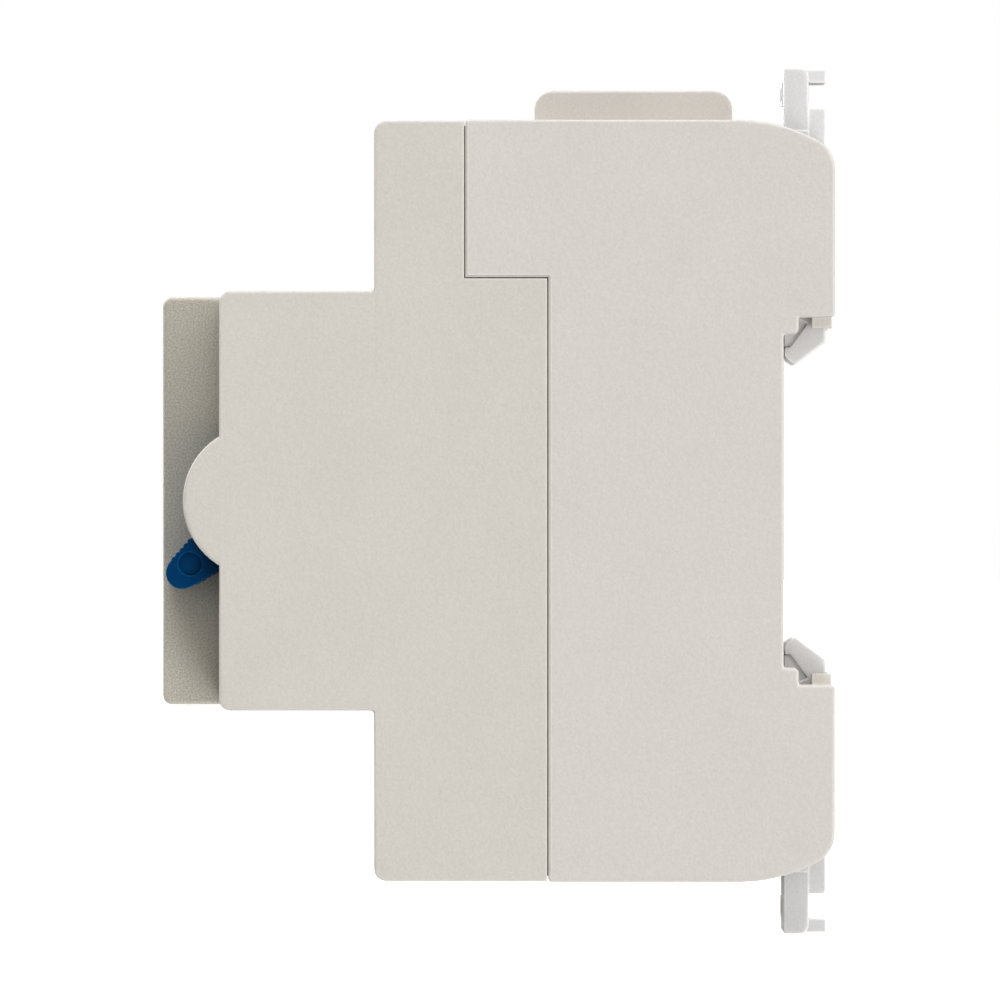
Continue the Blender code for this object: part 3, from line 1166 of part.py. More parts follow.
def make_trip_relay(materials):
    top = FRONT_HALF_HEIGHT - FRONT_WALL - GAP
    relay = box("relay", RELAY_X, RELAY_Y, (RELAY_LOW_Z, top))
    bevel(relay, 0.4)
    centre = (PLUNGER_X, -PLUNGER_DEPTH)
    cut(relay, [rod("plunger_bore", "Z", centre, PLUNGER_RADIUS + RUN_GAP,
                    (RELAY_LOW_Z - 1.0, RELAY_LOW_Z + 5.0), 16)])
    finish(relay, "trip_relay", materials["relay_grey"])
    tip = RELAY_LOW_Z - PLUNGER_REACH
    plunger = turned("plunger", "Z", centre, [
        (0.0, RELAY_LOW_Z + 4.5), (PLUNGER_RADIUS, RELAY_LOW_Z + 4.5), (PLUNGER_RADIUS, tip + 1.8),
        (PLUNGER_RADIUS + PLUNGER_COLLAR, tip + 1.8), (PLUNGER_RADIUS + PLUNGER_COLLAR, tip + 1.1),
        (PLUNGER_RADIUS, tip + 1.1),
        (PLUNGER_RADIUS, tip), (0.0, tip),
    ], 16)
    finish(plunger, "relay_plunger", materials["steel"], (PLUNGER_X, -PLUNGER_DEPTH, tip))


def make_trip_latch(materials):
    half_width = LATCH_ARM_HALF_WIDTH
    x = (PLUNGER_X - LATCH_HALF_THICKNESS, PLUNGER_X + LATCH_HALF_THICKNESS)
    pad = (-PLUNGER_DEPTH, RELAY_LOW_Z - PLUNGER_REACH - GAP - half_width)
    hook = (LATCH_PIVOT[0] + LATCH_HOOK_REAR, LATCH_PIVOT[1] - LATCH_HOOK_DROP)
    latch = bar("pad_arm", LATCH_PIVOT, pad, half_width, x)
    join(latch, [
        bar("hook_arm", LATCH_PIVOT, hook, LATCH_HOOK_HALF_WIDTH, x),
        rod("boss", "X", LATCH_PIVOT, LATCH_BOSS_RADIUS, (x[0] + 0.1, x[1] - 0.1), 20),
    ])
    cut(latch, [rod("pin_bore", "X", LATCH_PIVOT, LATCH_PIN_RADIUS + RUN_GAP, (-FAR, FAR), 16)])
    finish(latch, "trip_latch", materials["steel"], (0.0, *LATCH_PIVOT))
    pin = rod("pin", "X", LATCH_PIVOT, LATCH_PIN_RADIUS, (x[0] - 2 * GAP, PLATE_X[1] + GAP), 16)
    finish(pin, "latch_pin", materials["steel"])
    plate = box("plate", PLATE_X, (-WEB_REAR_DEPTH + GAP, RELAY_Y[1]), (PLATE_LOW_Z, RELAY_LOW_Z - GAP))
    cut(plate, [rod("pin_hole", "X", LATCH_PIVOT, LATCH_PIN_RADIUS + RUN_GAP, (-FAR, FAR), 16)])
    finish(plate, "mechanism_plate", materials["zinc"])


# ---------------------------------------------------------------- terminals


def make_terminals(materials):
    head_rear = -SCREW_HEAD_DEPTH + SCREW_HEAD_HEIGHT
    shank_end = -STRAP_DEPTH - GAP
    profile = [
        (0.0, shank_end), (SCREW_SHANK_RADIUS, shank_end), (SCREW_SHANK_RADIUS, head_rear),
        (SCREW_HEAD_RADIUS, head_rear), (SCREW_HEAD_RADIUS, -SCREW_HEAD_DEPTH + 0.3),
        (SCREW_HEAD_RADIUS - 0.3, -SCREW_HEAD_DEPTH), (0.0, -SCREW_HEAD_DEPTH),
    ]
    inner = CAGE_HALF_WIDTH - CAGE_WALL
    for level_name, level in LEVELS:
        for side_name, side in SIDES:
            x = side * POLE_X
            z = level * TERMINAL_Z
            name = f"{level_name}_{side_name}"
            screw = turned("screw", "Y", (z, x), profile, 24)
            cut(screw, screw_recess((z, x), -SCREW_HEAD_DEPTH, 2.3, 0.45, 1.6))
            finish(screw, f"terminal_screw_{name}", materials["zinc"], (x, -SCREW_HEAD_DEPTH, z))
            cage = box("cage", (x - CAGE_HALF_WIDTH, x + CAGE_HALF_WIDTH),
                       (-CAGE_TOP_DEPTH, -CAGE_FLOOR_DEPTH + CAGE_BOTTOM),
                       (z - CAGE_HALF_LENGTH, z + CAGE_HALF_LENGTH))
            bevel(cage, 0.4)
            cut(cage, [
                box("wire_space", (x - inner, x + inner), (-CAGE_TOP_DEPTH + CAGE_TOP, -CAGE_FLOOR_DEPTH),
                    (z - FAR, z + FAR)),
                rod("screw_bore", "Y", (z, x), SCREW_SHANK_RADIUS + RUN_GAP, (-FAR, -STRAP_DEPTH), 24),
            ])
            finish(cage, f"clamp_cage_{name}", materials["zinc"], (x, -CAGE_TOP_DEPTH, z))


# ---------------------------------------------------------------- rail clips


def clip_outline(level):
    points = rounded([
        (CLIP_FRONT, CLIP_END_Z), (CLIP_REAR, CLIP_END_Z, 0.9), (CLIP_REAR, CLIP_RIB_END_Z),
        (CLIP_RIB_REAR, CLIP_RIB_END_Z, 0.3, 2), (CLIP_RIB_REAR, CLIP_NOSE_Z + 2.4, 0.3, 2),
        (CLIP_HOOK_DEPTH + 1.1, CLIP_NOSE_Z), (CLIP_HOOK_DEPTH + 0.35, CLIP_NOSE_Z + 0.5),
        (CLIP_HOOK_DEPTH, CLIP_NOSE_Z + 1.0), (CLIP_HOOK_DEPTH, CLIP_HOOK_Z),
        (CLIP_HOOK_DEPTH + 0.6, CLIP_HOOK_Z), (CLIP_REAR - 0.15, CLIP_HOOK_Z + 2.5),
        (CLIP_FRONT, CLIP_HOOK_Z + 3.6),
    ])
    if level > 0:
        return points[::-1]
    return [(y, -z) for y, z in points]


def make_rail_clips(materials):
    half_slot = CLIP_SLOT_HEIGHT / 2
    slot_z = (CLIP_SLOT_Z - half_slot, CLIP_SLOT_Z + half_slot)
    rim_z = (slot_z[0] - CLIP_SLOT_RIM, slot_z[1] + CLIP_SLOT_RIM)
    slot_half = CLIP_SLOT_HALF_WIDTH
    rim_half = slot_half + CLIP_SLOT_RIM
    for level_name, level in LEVELS:
        clip = prism("clip_body", clip_outline(level), (-CLIP_HALF_WIDTH, CLIP_HALF_WIDTH))
        bevel(clip, 0.2)
        lug_z = across(level, CLIP_END_Z - CLIP_LUG_HEIGHT, CLIP_END_Z - 0.1)
        web = [(CLIP_HOOK_DEPTH, CLIP_HOOK_Z + 0.05), (CLIP_HOOK_DEPTH + 0.9, CLIP_HOOK_Z + 0.05),
               (CLIP_REAR - 0.1, CLIP_HOOK_Z + 2.8), (CLIP_REAR - 0.1, CLIP_HOOK_Z + 4.5),
               (CLIP_HOOK_DEPTH, CLIP_HOOK_Z + 4.5)]
        web = web[::-1] if level > 0 else [(y, -z) for y, z in web]
        join(clip, [
            prism("hook_web", web, (-CLIP_WEB_HALF_WIDTH, CLIP_WEB_HALF_WIDTH)),
            box("flange", (-CLIP_FLANGE_HALF_WIDTH, CLIP_FLANGE_HALF_WIDTH), (CLIP_FRONT, CLIP_REAR),
                across(level, CLIP_HOOK_Z + 4.0, BASE_HALF_HEIGHT - 0.9)),
            box("lug", (-CLIP_LUG_HALF_WIDTH, CLIP_LUG_HALF_WIDTH),
                (CLIP_REAR - 1.0, CLIP_RIB_REAR + 0.1), lug_z),
            box("tongue", (-CLIP_TONGUE_HALF_WIDTH, CLIP_TONGUE_HALF_WIDTH),
                (-CLIP_TONGUE_DROP, CLIP_FRONT + 0.5),
                across(level, CLIP_TONGUE_Z, CLIP_TONGUE_Z + CLIP_TONGUE_THICKNESS)),
            box("slot_rim", (-rim_half, rim_half), (CLIP_FRONT - CLIP_SLOT_RIM_HEIGHT, CLIP_FRONT + 0.5),
                across(level, *rim_z)),
        ])
        rib_z = across(level, BASE_HALF_HEIGHT - CLIP_RIB_RELIEF, CLIP_RIB_END_Z + 0.5)
        cut(clip, [
            box("driver_slot", (-slot_half, slot_half), (-FAR, CLIP_REAR + 0.5), across(level, *slot_z)),
            box("rib_relief_left", (-FAR, -CLIP_WEB_HALF_WIDTH), (CLIP_REAR, FAR), rib_z),
            box("rib_relief_right", (CLIP_WEB_HALF_WIDTH, FAR), (CLIP_REAR, FAR), rib_z),
        ])
        finish(clip, f"{level_name}_rail_clip", materials["clip_white"], (0.0, 0.0, level * CLIP_END_Z))
        start = CLIP_TONGUE_Z + CLIP_TONGUE_THICKNESS + CLIP_SPRING_WIRE + GAP
        end = CLIP_SPRING_END_Z - CLIP_SPRING_WIRE
        coil = helix(6, 8, CLIP_SPRING_RADIUS, level * start, level * end)
        middle = (CHANNEL_FLOOR - CLIP_TONGUE_DROP - GAP) / 2
        points = [(u, middle + v, along) for along, u, v in coil]
        spring = wire("coil", points, CLIP_SPRING_WIRE)
        finish(spring, f"{level_name}_clip_spring", materials["spring_steel"])


def main():
    clear_scene()
    materials = make_materials()
    make_rear_base(materials)
    make_front_cover(materials)
    make_housing_screws(materials)
    make_label(materials)
    make_indicator(materials)
    make_test_button(materials)
    make_circuit_board(materials)
    make_toggle_lever(materials)
    make_toggle_link(materials)
    make_contact_carrier(materials)
    make_moving_contacts(materials)
    make_straps(materials)
    make_current_transformer(materials)
    make_primary_conductors(materials)
    make_trip_relay(materials)
    make_trip_latch(materials)
    make_terminals(materials)
    make_rail_clips(materials)


main()
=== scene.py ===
"""Looks of the two-module residual current switch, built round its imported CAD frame.

Sizes are in millimetres and are turned into metres where a mesh or a node takes them. The
rail side is +Y, the front -Y, and the photograph looks along -X at the right-hand side.
"""

import json
import math

import bmesh
import bpy
from mathutils import Matrix, Vector

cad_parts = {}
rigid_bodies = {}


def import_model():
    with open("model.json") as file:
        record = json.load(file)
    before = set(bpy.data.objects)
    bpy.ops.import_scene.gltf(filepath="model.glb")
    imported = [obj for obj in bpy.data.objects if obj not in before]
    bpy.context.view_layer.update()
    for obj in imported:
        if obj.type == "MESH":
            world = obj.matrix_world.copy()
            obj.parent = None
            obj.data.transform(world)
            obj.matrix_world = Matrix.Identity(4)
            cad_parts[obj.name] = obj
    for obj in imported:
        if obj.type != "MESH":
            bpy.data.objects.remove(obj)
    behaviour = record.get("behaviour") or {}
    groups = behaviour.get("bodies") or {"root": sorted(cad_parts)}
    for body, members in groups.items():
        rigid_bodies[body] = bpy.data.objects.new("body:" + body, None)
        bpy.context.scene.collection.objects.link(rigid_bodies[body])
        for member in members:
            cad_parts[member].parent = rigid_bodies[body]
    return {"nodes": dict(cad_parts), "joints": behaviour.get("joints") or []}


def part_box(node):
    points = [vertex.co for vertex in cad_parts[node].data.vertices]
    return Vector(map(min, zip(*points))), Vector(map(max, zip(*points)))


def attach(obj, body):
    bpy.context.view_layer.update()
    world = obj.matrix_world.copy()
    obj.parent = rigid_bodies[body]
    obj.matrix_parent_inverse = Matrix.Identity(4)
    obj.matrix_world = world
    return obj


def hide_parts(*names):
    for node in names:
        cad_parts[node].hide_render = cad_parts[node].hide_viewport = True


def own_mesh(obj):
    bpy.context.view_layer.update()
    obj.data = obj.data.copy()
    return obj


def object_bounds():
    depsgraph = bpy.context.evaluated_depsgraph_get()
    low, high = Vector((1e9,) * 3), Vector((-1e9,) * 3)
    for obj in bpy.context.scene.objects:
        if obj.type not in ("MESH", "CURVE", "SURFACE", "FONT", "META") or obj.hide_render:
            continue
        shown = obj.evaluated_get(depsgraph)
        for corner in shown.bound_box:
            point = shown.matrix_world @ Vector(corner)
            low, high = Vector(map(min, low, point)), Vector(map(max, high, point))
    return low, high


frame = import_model()
cad_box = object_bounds()

MM = 0.001
SHOULDER_Y = -43.9           # the step over the terminals
FRONT_Y = -60.5              # the front round the raised panel
PANEL_SIDE_X = 0.0           # the side of the raised panel that looks toward +X

# ---------------------------------------------------------------- camera, light and floor

CAMERA_DISTANCE = 1500.0     # from the near side of the housing
CAMERA_Y, CAMERA_Z = -30.4, 0.1
CAMERA_RANGE = (50.0, 20000.0)    # nothing nearer or farther is seen
SENSOR = 36.0
FIELD_AT_OBJECT = 107.15     # width of the picture at the near side

# name, direction the light comes from, its width in degrees, strength on a facing surface
SUNS = (
    ("sun_side", (1.00, 0.00, 0.00), 36.0, 0.11),
    ("sun_side_high", (0.65, 0.00, 0.75), 36.0, 0.14),
    ("sun_side_low", (0.65, 0.00, -0.75), 36.0, 0.11),
    ("sun_right", (0.70, 0.70, 0.00), 36.0, 0.18),
    ("sun_right_high", (0.60, 0.50, 0.60), 36.0, 0.19),
    ("sun_right_low", (0.60, 0.50, -0.60), 36.0, 0.53),
    ("sun_top", (0.16, 0.00, 1.00), 40.0, 0.70),
    ("sun_bottom", (-0.20, 0.00, -1.00), 40.0, 0.60),
    ("sun_front", (-0.45, -1.00, 0.30), 40.0, 0.70),
    ("sun_rear", (-0.30, 1.00, 0.00), 40.0, 0.40),
    ("sun_left", (-1.00, -0.10, 0.15), 40.0, 0.42),
)
SKY = 0.20
WHITE = (1.0, 1.0, 1.0, 1.0)

FLOOR_CLEARANCE = 7.8        # leaves room for the lower clip when it is drawn out
FLOOR_RADIUS = 8000.0
FLOOR_SIDES = 64
FLOOR_BOUNCE = 0.06          # share of light that the floor throws back at the object
FLOOR_GLOW = 0.35            # keeps the seen floor as white as the backdrop
PAPER_TONE = 0.93
PAPER_ROUGHNESS = 0.9


def make_camera():
    data = bpy.data.cameras.new("camera")
    data.sensor_width = SENSOR
    data.lens = SENSOR * CAMERA_DISTANCE / FIELD_AT_OBJECT
    data.clip_start, data.clip_end = (limit * MM for limit in CAMERA_RANGE)
    camera = bpy.data.objects.new("camera", data)
    near_side = cad_box[1].x
    camera.location = (near_side + CAMERA_DISTANCE * MM, CAMERA_Y * MM, CAMERA_Z * MM)
    camera.rotation_euler = (math.radians(90.0), 0.0, math.radians(90.0))
    bpy.context.scene.collection.objects.link(camera)
    bpy.context.scene.camera = camera


def make_suns():
    for name, direction, width, strength in SUNS:
        data = bpy.data.lights.new(name, "SUN")
        data.angle = math.radians(width)
        data.energy = math.pi * strength
        sun = bpy.data.objects.new(name, data)
        sun.rotation_euler = (-Vector(direction)).to_track_quat("-Z", "Y").to_euler()
        bpy.context.scene.collection.objects.link(sun)


def split_rays(tree, light, seen, output):
    """Rays from the camera meet seen, and all others meet light."""
    rays = tree.nodes.new("ShaderNodeLightPath")
    mix = tree.nodes.new("ShaderNodeMixShader")
    tree.links.new(rays.outputs["Is Camera Ray"], mix.inputs[0])
    tree.links.new(light.outputs[0], mix.inputs[1])
    tree.links.new(seen.outputs[0], mix.inputs[2])
    tree.links.new(mix.outputs[0], output.inputs["Surface"])


def make_sky():
    world = bpy.data.worlds.new("studio")
    world.use_nodes = True
    bpy.context.scene.world = world
    tree = world.node_tree
    fill = tree.nodes["Background"]
    fill.inputs["Strength"].default_value = SKY
    backdrop = tree.nodes.new("ShaderNodeBackground")
    for node in (fill, backdrop):
        node.inputs["Color"].default_value = WHITE
    split_rays(tree, fill, backdrop, tree.nodes["World Output"])


def make_paper():
    """White and glowing to the camera, and nearly black to the light on the object."""
    paper = bpy.data.materials.new("floor_paper")
    paper.use_nodes = True
    tree = paper.node_tree
    seen = tree.nodes["Principled BSDF"]
    seen.inputs["Base Color"].default_value = (PAPER_TONE, PAPER_TONE, PAPER_TONE, 1.0)
    seen.inputs["Roughness"].default_value = PAPER_ROUGHNESS
    seen.inputs["Emission Color"].default_value = WHITE
    seen.inputs["Emission Strength"].default_value = FLOOR_GLOW
    bounce = tree.nodes.new("ShaderNodeBsdfDiffuse")
    bounce.inputs["Color"].default_value = (FLOOR_BOUNCE, FLOOR_BOUNCE, FLOOR_BOUNCE, 1.0)
    split_rays(tree, bounce, seen, tree.nodes["Material Output"])
    return paper


def make_floor():
    bm = bmesh.new()
    bmesh.ops.create_circle(bm, cap_ends=True, segments=FLOOR_SIDES, radius=FLOOR_RADIUS * MM)
    mesh = bpy.data.meshes.new("floor")
    bm.to_mesh(mesh)
    bm.free()
    mesh.materials.append(make_paper())
    floor = bpy.data.objects.new("floor", mesh)
    floor.location = (0.0, 0.0, cad_box[0].z - FLOOR_CLEARANCE * MM)
    floor.visible_shadow = False     # a light table: the low lights shine through it
    bpy.context.scene.collection.objects.link(floor)


bpy.context.scene.view_settings.view_transform = "Standard"
make_camera()
make_suns()
make_sky()
make_floor()

# ---------------------------------------------------------------- material building blocks

BEVEL_SAMPLES = 4
HOLLOW_SAMPLES = 6
EDGE_SPAN = (0.985, 0.85)            # cosine between a face and its normal rounded off, from
                                     # open faces to edges
MIX_SHARE, MIX_A, MIX_B = 0, 6, 7    # the inputs of a Mix node that mixes colours
MIX_RESULT = 2                       # the output of the same node
INPUT_OF = {"colour": "Base Color", "roughness": "Roughness", "normal": "Normal",
            "specular": "Specular IOR Level", "transmission": "Transmission Weight",
            "ior": "IOR"}


class Shade:
    """A node tree in the making: most methods add a node and return its output."""

    def __init__(self, name, metallic=0.0):
        self.material = bpy.data.materials.new(name)
        self.material.use_nodes = True
        self.tree = self.material.node_tree
        self.shader = self.tree.nodes["Principled BSDF"]
        self.shader.inputs["Metallic"].default_value = metallic
        self.place = self.tree.nodes.new("ShaderNodeTexCoord").outputs["Object"]

    def link(self, source, node, socket):
        """Puts an output, a number or a colour into a socket."""
        target = node.inputs[socket]
        if isinstance(source, (int, float)):
            target.default_value = source
        elif isinstance(source, tuple):
            target.default_value = (*source, 1.0)[:len(target.default_value)]
        else:
            self.tree.links.new(source, target)

    def stretch(self, scale):
        """The place, with each axis scaled."""
        node = self.tree.nodes.new("ShaderNodeMapping")
        node.inputs["Scale"].default_value = scale
        self.tree.links.new(self.place, node.inputs["Vector"])
        return node.outputs["Vector"]

    def noise(self, size, detail, roughness=0.5, place=None):
        """Noise whose features are about size millimetres across."""
        node = self.tree.nodes.new("ShaderNodeTexNoise")
        node.inputs["Scale"].default_value = 1.0 / (size * MM)
        node.inputs["Detail"].default_value = detail
        node.inputs["Roughness"].default_value = roughness
        self.tree.links.new(place or self.place, node.inputs["Vector"])
        return node.outputs["Fac"]

    def cells(self, size):
        """The distance to the middle of cells about size millimetres across."""
        node = self.tree.nodes.new("ShaderNodeTexVoronoi")
        node.inputs["Scale"].default_value = 1.0 / (size * MM)
        self.tree.links.new(self.place, node.inputs["Vector"])
        return node.outputs["Distance"]

    def ramp(self, value, span, result=(0.0, 1.0)):
        """Maps the span of the value to the result, and holds it outside."""
        node = self.tree.nodes.new("ShaderNodeMapRange")
        self.link(value, node, "Value")
        sockets = ("From Min", "From Max", "To Min", "To Max")
        for socket, number in zip(sockets, (*span, *result)):
            node.inputs[socket].default_value = number
        return node.outputs["Result"]

    def rise(self, axis, start, end):
        """0 at start and 1 at end, which are two places along an axis."""
        node = self.tree.nodes.new("ShaderNodeSeparateXYZ")
        self.tree.links.new(self.place, node.inputs[0])
        return self.ramp(node.outputs[axis], (start * MM, end * MM))

    def math(self, operation, a, b):
        node = self.tree.nodes.new("ShaderNodeMath")
        node.operation = operation
        self.link(a, node, 0)
        self.link(b, node, 1)
        return node.outputs[0]

    def grey(self, value):
        """A grey as bright as value."""
        node = self.tree.nodes.new("ShaderNodeCombineColor")
        for channel in range(3):
            self.tree.links.new(value, node.inputs[channel])
        return node.outputs[0]

    def mix(self, share, a, b, blend="MIX"):
        """Colour a, with that share of b in it."""
        node = self.tree.nodes.new("ShaderNodeMix")
        node.data_type = "RGBA"
        node.blend_type = blend
        self.link(share, node, MIX_SHARE)
        self.link(a, node, MIX_A)
        self.link(b, node, MIX_B)
        return node.outputs[MIX_RESULT]

    def times(self, a, b):
        """Colour a multiplied by colour b."""
        return self.mix(1.0, a, b, "MULTIPLY")

    def soft_edges(self, radius):
        """The normal with the edges rounded over radius millimetres."""
        node = self.tree.nodes.new("ShaderNodeBevel")
        node.samples = BEVEL_SAMPLES
        node.inputs["Radius"].default_value = radius * MM
        return node.outputs["Normal"]

    def edge_mask(self, radius):
        """1 on the edges and 0 on open faces."""
        geometry = self.tree.nodes.new("ShaderNodeNewGeometry")
        dot = self.tree.nodes.new("ShaderNodeVectorMath")
        dot.operation = "DOT_PRODUCT"
        self.tree.links.new(self.soft_edges(radius), dot.inputs[0])
        self.tree.links.new(geometry.outputs["Normal"], dot.inputs[1])
        return self.ramp(dot.outputs["Value"], EDGE_SPAN)

    def hollows(self, distance):
        """0 in crevices and 1 in the open."""
        node = self.tree.nodes.new("ShaderNodeAmbientOcclusion")
        node.samples = HOLLOW_SAMPLES
        node.inputs["Distance"].default_value = distance * MM
        return node.outputs["AO"]

    def bump(self, height, depth, normal=None):
        """A bump of depth millimetres for heights of 0 to 1."""
        node = self.tree.nodes.new("ShaderNodeBump")
        node.inputs["Distance"].default_value = depth * MM
        self.link(height, node, "Height")
        if normal is not None:
            self.tree.links.new(normal, node.inputs["Normal"])
        return node.outputs["Normal"]

    def finish(self, **inputs):
        """The material, once its shader has these inputs."""
        for key, source in inputs.items():
            self.link(source, self.shader, INPUT_OF[key])
        return self.material


# ---------------------------------------------------------------- plastics

NOISE_SPAN = (0.30, 0.70)            # nearly all values of a noise lie in it
MOTTLE_SPAN = (0.35, 0.65)           # of the noise, from the one colour to the other
GRAIN_TONE = (0.945, 1.045)          # of the colour, from the pits of the grain to its tops
SPECK_SIZE, SPECK_SHARE = 1.7, 0.35  # of the cells among the grain, to its size and its depth
GLOSS_PATCH = 3.4
GLOSS_SPREAD = (-0.05, 0.06)         # how far the roughness varies from patch to patch

COARSE_SIZE = 0.7                    # of the specks of the coarse grain, to the grain's size
COARSE_SPAN = (0.34, 0.66)
COARSE_TONE = (0.77, 1.23)
COARSE_TINT = (1.0, 1.0, 0.93)
COARSE_OUTSIDE = 0.3                 # how far off its side the coarse grain ends
COARSE_INSIDE = (0.5, 0.2)           # how far behind its side it starts, and is full
COARSE_AHEAD = (0.3, 0.6)            # how far in front of its limit it starts, and is full

PAINTED_SHADE_SPAN = (0.40, 0.95)          # of openness, from the deepest crevices to open faces, for the painted shade
PAINTED_SHADE_SHARE = 0.75                 # of the painted shade's colour in the deepest crevices
PAINTED_SHADE_TONE = 0.25                  # the colour of the painted shade in crevices, to that of the plastic
# patches of the lighter edges, which are partly wear and partly a painted highlight
WEAR_AND_HIGHLIGHT_PATCH = 1.1
WEAR_AND_HIGHLIGHT_SPAN = (0.30, 0.62)
WEAR_AND_HIGHLIGHT_LEAST = 0.50                    # share of the edges' lighter colour, wear and painted highlight, where it is weakest
GLOW_WEIGHT = 0.4
GLOW_REACH = (1.0, 0.95, 0.9)        # of red, green and blue light


def coarse_zone(shade, side_x, limit_y):
    """1 on the face at side_x, in front of limit_y, and 0 elsewhere."""
    outside = shade.rise("X", side_x + COARSE_OUTSIDE, side_x)
    inside = shade.rise("X", *(side_x - depth for depth in COARSE_INSIDE))
    ahead = shade.rise("Y", *(limit_y - distance for distance in COARSE_AHEAD))
    return shade.math("MULTIPLY", shade.math("MULTIPLY", outside, inside), ahead)


def coarse_grain(shade, tone, grain):
    """The tone with strong, slightly yellow specks."""
    specks = shade.noise(grain * COARSE_SIZE, detail=2.0, roughness=0.7)
    specks = shade.grey(shade.ramp(specks, COARSE_SPAN, COARSE_TONE))
    return shade.times(tone, shade.times(specks, COARSE_TINT))


def moulded_plastic(name, colour, second, roughness, grain=0.26, grain_depth=0.016, edge=None,
                    edge_width=0.26, rounding=0.22, mottle=9.0, specular=0.5, coarse_side=None,
                    painted_shade_reach=None, glow=None):
    """Moulded plastic with a spark-eroded grain, a faint mottle of two colours and, where an edge
    colour is given, lighter edges: partly wear, partly a painted highlight. coarse_side is the X
    of a face that looks toward +X, and a Y: the face has a coarse grain in front of that Y. The
    reach given for corners is how far painted shade darkens them, and glow how far light spreads
    inside."""
    shade = Shade(name)
    clouds = shade.noise(mottle, detail=4.0, roughness=0.55)
    fine = shade.noise(grain, detail=3.0, roughness=0.6)
    tone = shade.mix(shade.ramp(clouds, MOTTLE_SPAN), colour, second)
    tone = shade.times(tone, shade.grey(shade.ramp(fine, NOISE_SPAN, GRAIN_TONE)))
    if coarse_side is not None:
        tone = shade.mix(coarse_zone(shade, *coarse_side), tone, coarse_grain(shade, tone, grain))
    # painted shade: corners are darkened by how closed in they are
    if painted_shade_reach is not None:
        painted_shade_colour = tuple(channel * PAINTED_SHADE_TONE for channel in colour)
        depth = shade.ramp(shade.hollows(painted_shade_reach), PAINTED_SHADE_SPAN, (PAINTED_SHADE_SHARE, 0.0))
        tone = shade.mix(depth, tone, painted_shade_colour)
    # edges lightened: partly wear, partly a painted highlight where light would catch them
    if edge is not None:
        rubbed = shade.ramp(shade.noise(WEAR_AND_HIGHLIGHT_PATCH, detail=3.0), WEAR_AND_HIGHLIGHT_SPAN, (WEAR_AND_HIGHLIGHT_LEAST, 1.0))
        tone = shade.mix(shade.math("MULTIPLY", shade.edge_mask(edge_width), rubbed), tone, edge)
    specks = shade.math("MULTIPLY", shade.cells(grain * SPECK_SIZE), SPECK_SHARE)
    normal = shade.bump(shade.math("ADD", fine, specks), grain_depth,
                        shade.soft_edges(rounding) if rounding else None)
    gloss = shade.ramp(shade.noise(GLOSS_PATCH, detail=3.0), NOISE_SPAN,
                       [roughness + change for change in GLOSS_SPREAD])
    if glow is not None:
        shade.shader.inputs["Subsurface Weight"].default_value = GLOW_WEIGHT
        shade.shader.inputs["Subsurface Scale"].default_value = glow * MM
        shade.shader.inputs["Subsurface Radius"].default_value = GLOW_REACH
    return shade.finish(colour=tone, roughness=gloss, normal=normal, specular=specular)


# slot, name, colour, second colour, roughness, and what else differs from other plastics
PLASTICS = (
    ("housing", "cover_plastic", (0.632, 0.600, 0.547), (0.616, 0.584, 0.532), 0.50,
     dict(edge=(0.80, 0.77, 0.71), edge_width=0.46, rounding=0.12,
          coarse_side=(PANEL_SIDE_X, FRONT_Y))),
    ("base", "base_plastic", (0.656, 0.620, 0.577), (0.640, 0.607, 0.563), 0.50,
     dict(edge=(0.82, 0.79, 0.73), edge_width=0.46, rounding=0.12)),
    ("tongue", "tongue_plastic", (0.60, 0.50, 0.385), (0.57, 0.475, 0.365), 0.55, {}),
    # the lever gets painted shade in its corners
    ("lever_blue", "lever_plastic", (0.0006, 0.040, 0.126), (0.0006, 0.033, 0.108), 0.36,
     dict(grain=0.16, grain_depth=0.004, edge=(0.0015, 0.130, 0.32), edge_width=0.20,
          rounding=0.10, mottle=3.0, specular=0.02, painted_shade_reach=0.8)),
    # the clip's nearly white edges get no rounded shading, and are mostly a painted highlight
    # line
    ("clip_white", "clip_plastic", (0.655, 0.645, 0.640), (0.640, 0.630, 0.625), 0.38,
     dict(grain=0.30, grain_depth=0.004, edge=(0.95, 0.94, 0.93), edge_width=0.34,
          rounding=None, glow=0.8)),
    ("button_grey", "button_plastic", (0.30, 0.31, 0.32), (0.27, 0.28, 0.29), 0.36,
     dict(grain=0.18, grain_depth=0.004, edge=(0.42, 0.43, 0.44), edge_width=0.18,
          rounding=0.15, mottle=2.5)),
    ("flag_green", "flag_plastic", (0.018, 0.27, 0.075), (0.014, 0.23, 0.062), 0.45,
     dict(grain=0.2, grain_depth=0.004)),
    ("carrier_black", "carrier_plastic", (0.022, 0.022, 0.025), (0.028, 0.028, 0.031), 0.45,
     dict(grain_depth=0.006)),
    ("relay_grey", "relay_plastic", (0.17, 0.17, 0.19), (0.15, 0.15, 0.17), 0.42, {}),
    ("case_amber", "case_plastic", (0.44, 0.24, 0.085), (0.39, 0.21, 0.07), 0.42, {}),
    ("board_green", "board_lacquer", (0.012, 0.115, 0.045), (0.010, 0.095, 0.038), 0.30,
     dict(grain=0.5, grain_depth=0.004)),
    ("ink", "printing_ink", (0.030, 0.031, 0.034), (0.045, 0.046, 0.050), 0.45,
     dict(grain=0.15, grain_depth=0.001)),
)

# ---------------------------------------------------------------- metals

STREAK_WIDTH = 0.16
STREAK_DEPTH = 0.006
STREAK_GLOSS = (-0.09, 0.10)         # how far the roughness varies from streak to streak
BLOTCH_SIZE = 1.9
BLOTCH_SPAN = (0.36, 0.66)           # of the noise, from the one colour to the other
STAIN_SIZE = 0.9
STAIN_SPAN = (0.58, 0.74)            # of the noise, from clean metal to stained metal
STAIN_SHARE = 0.55
METAL_ROUNDING = 0.10
RUBBED_WIDTH = 0.12
RUBBED_GLOSS = -0.08                 # change of the roughness on rubbed edges


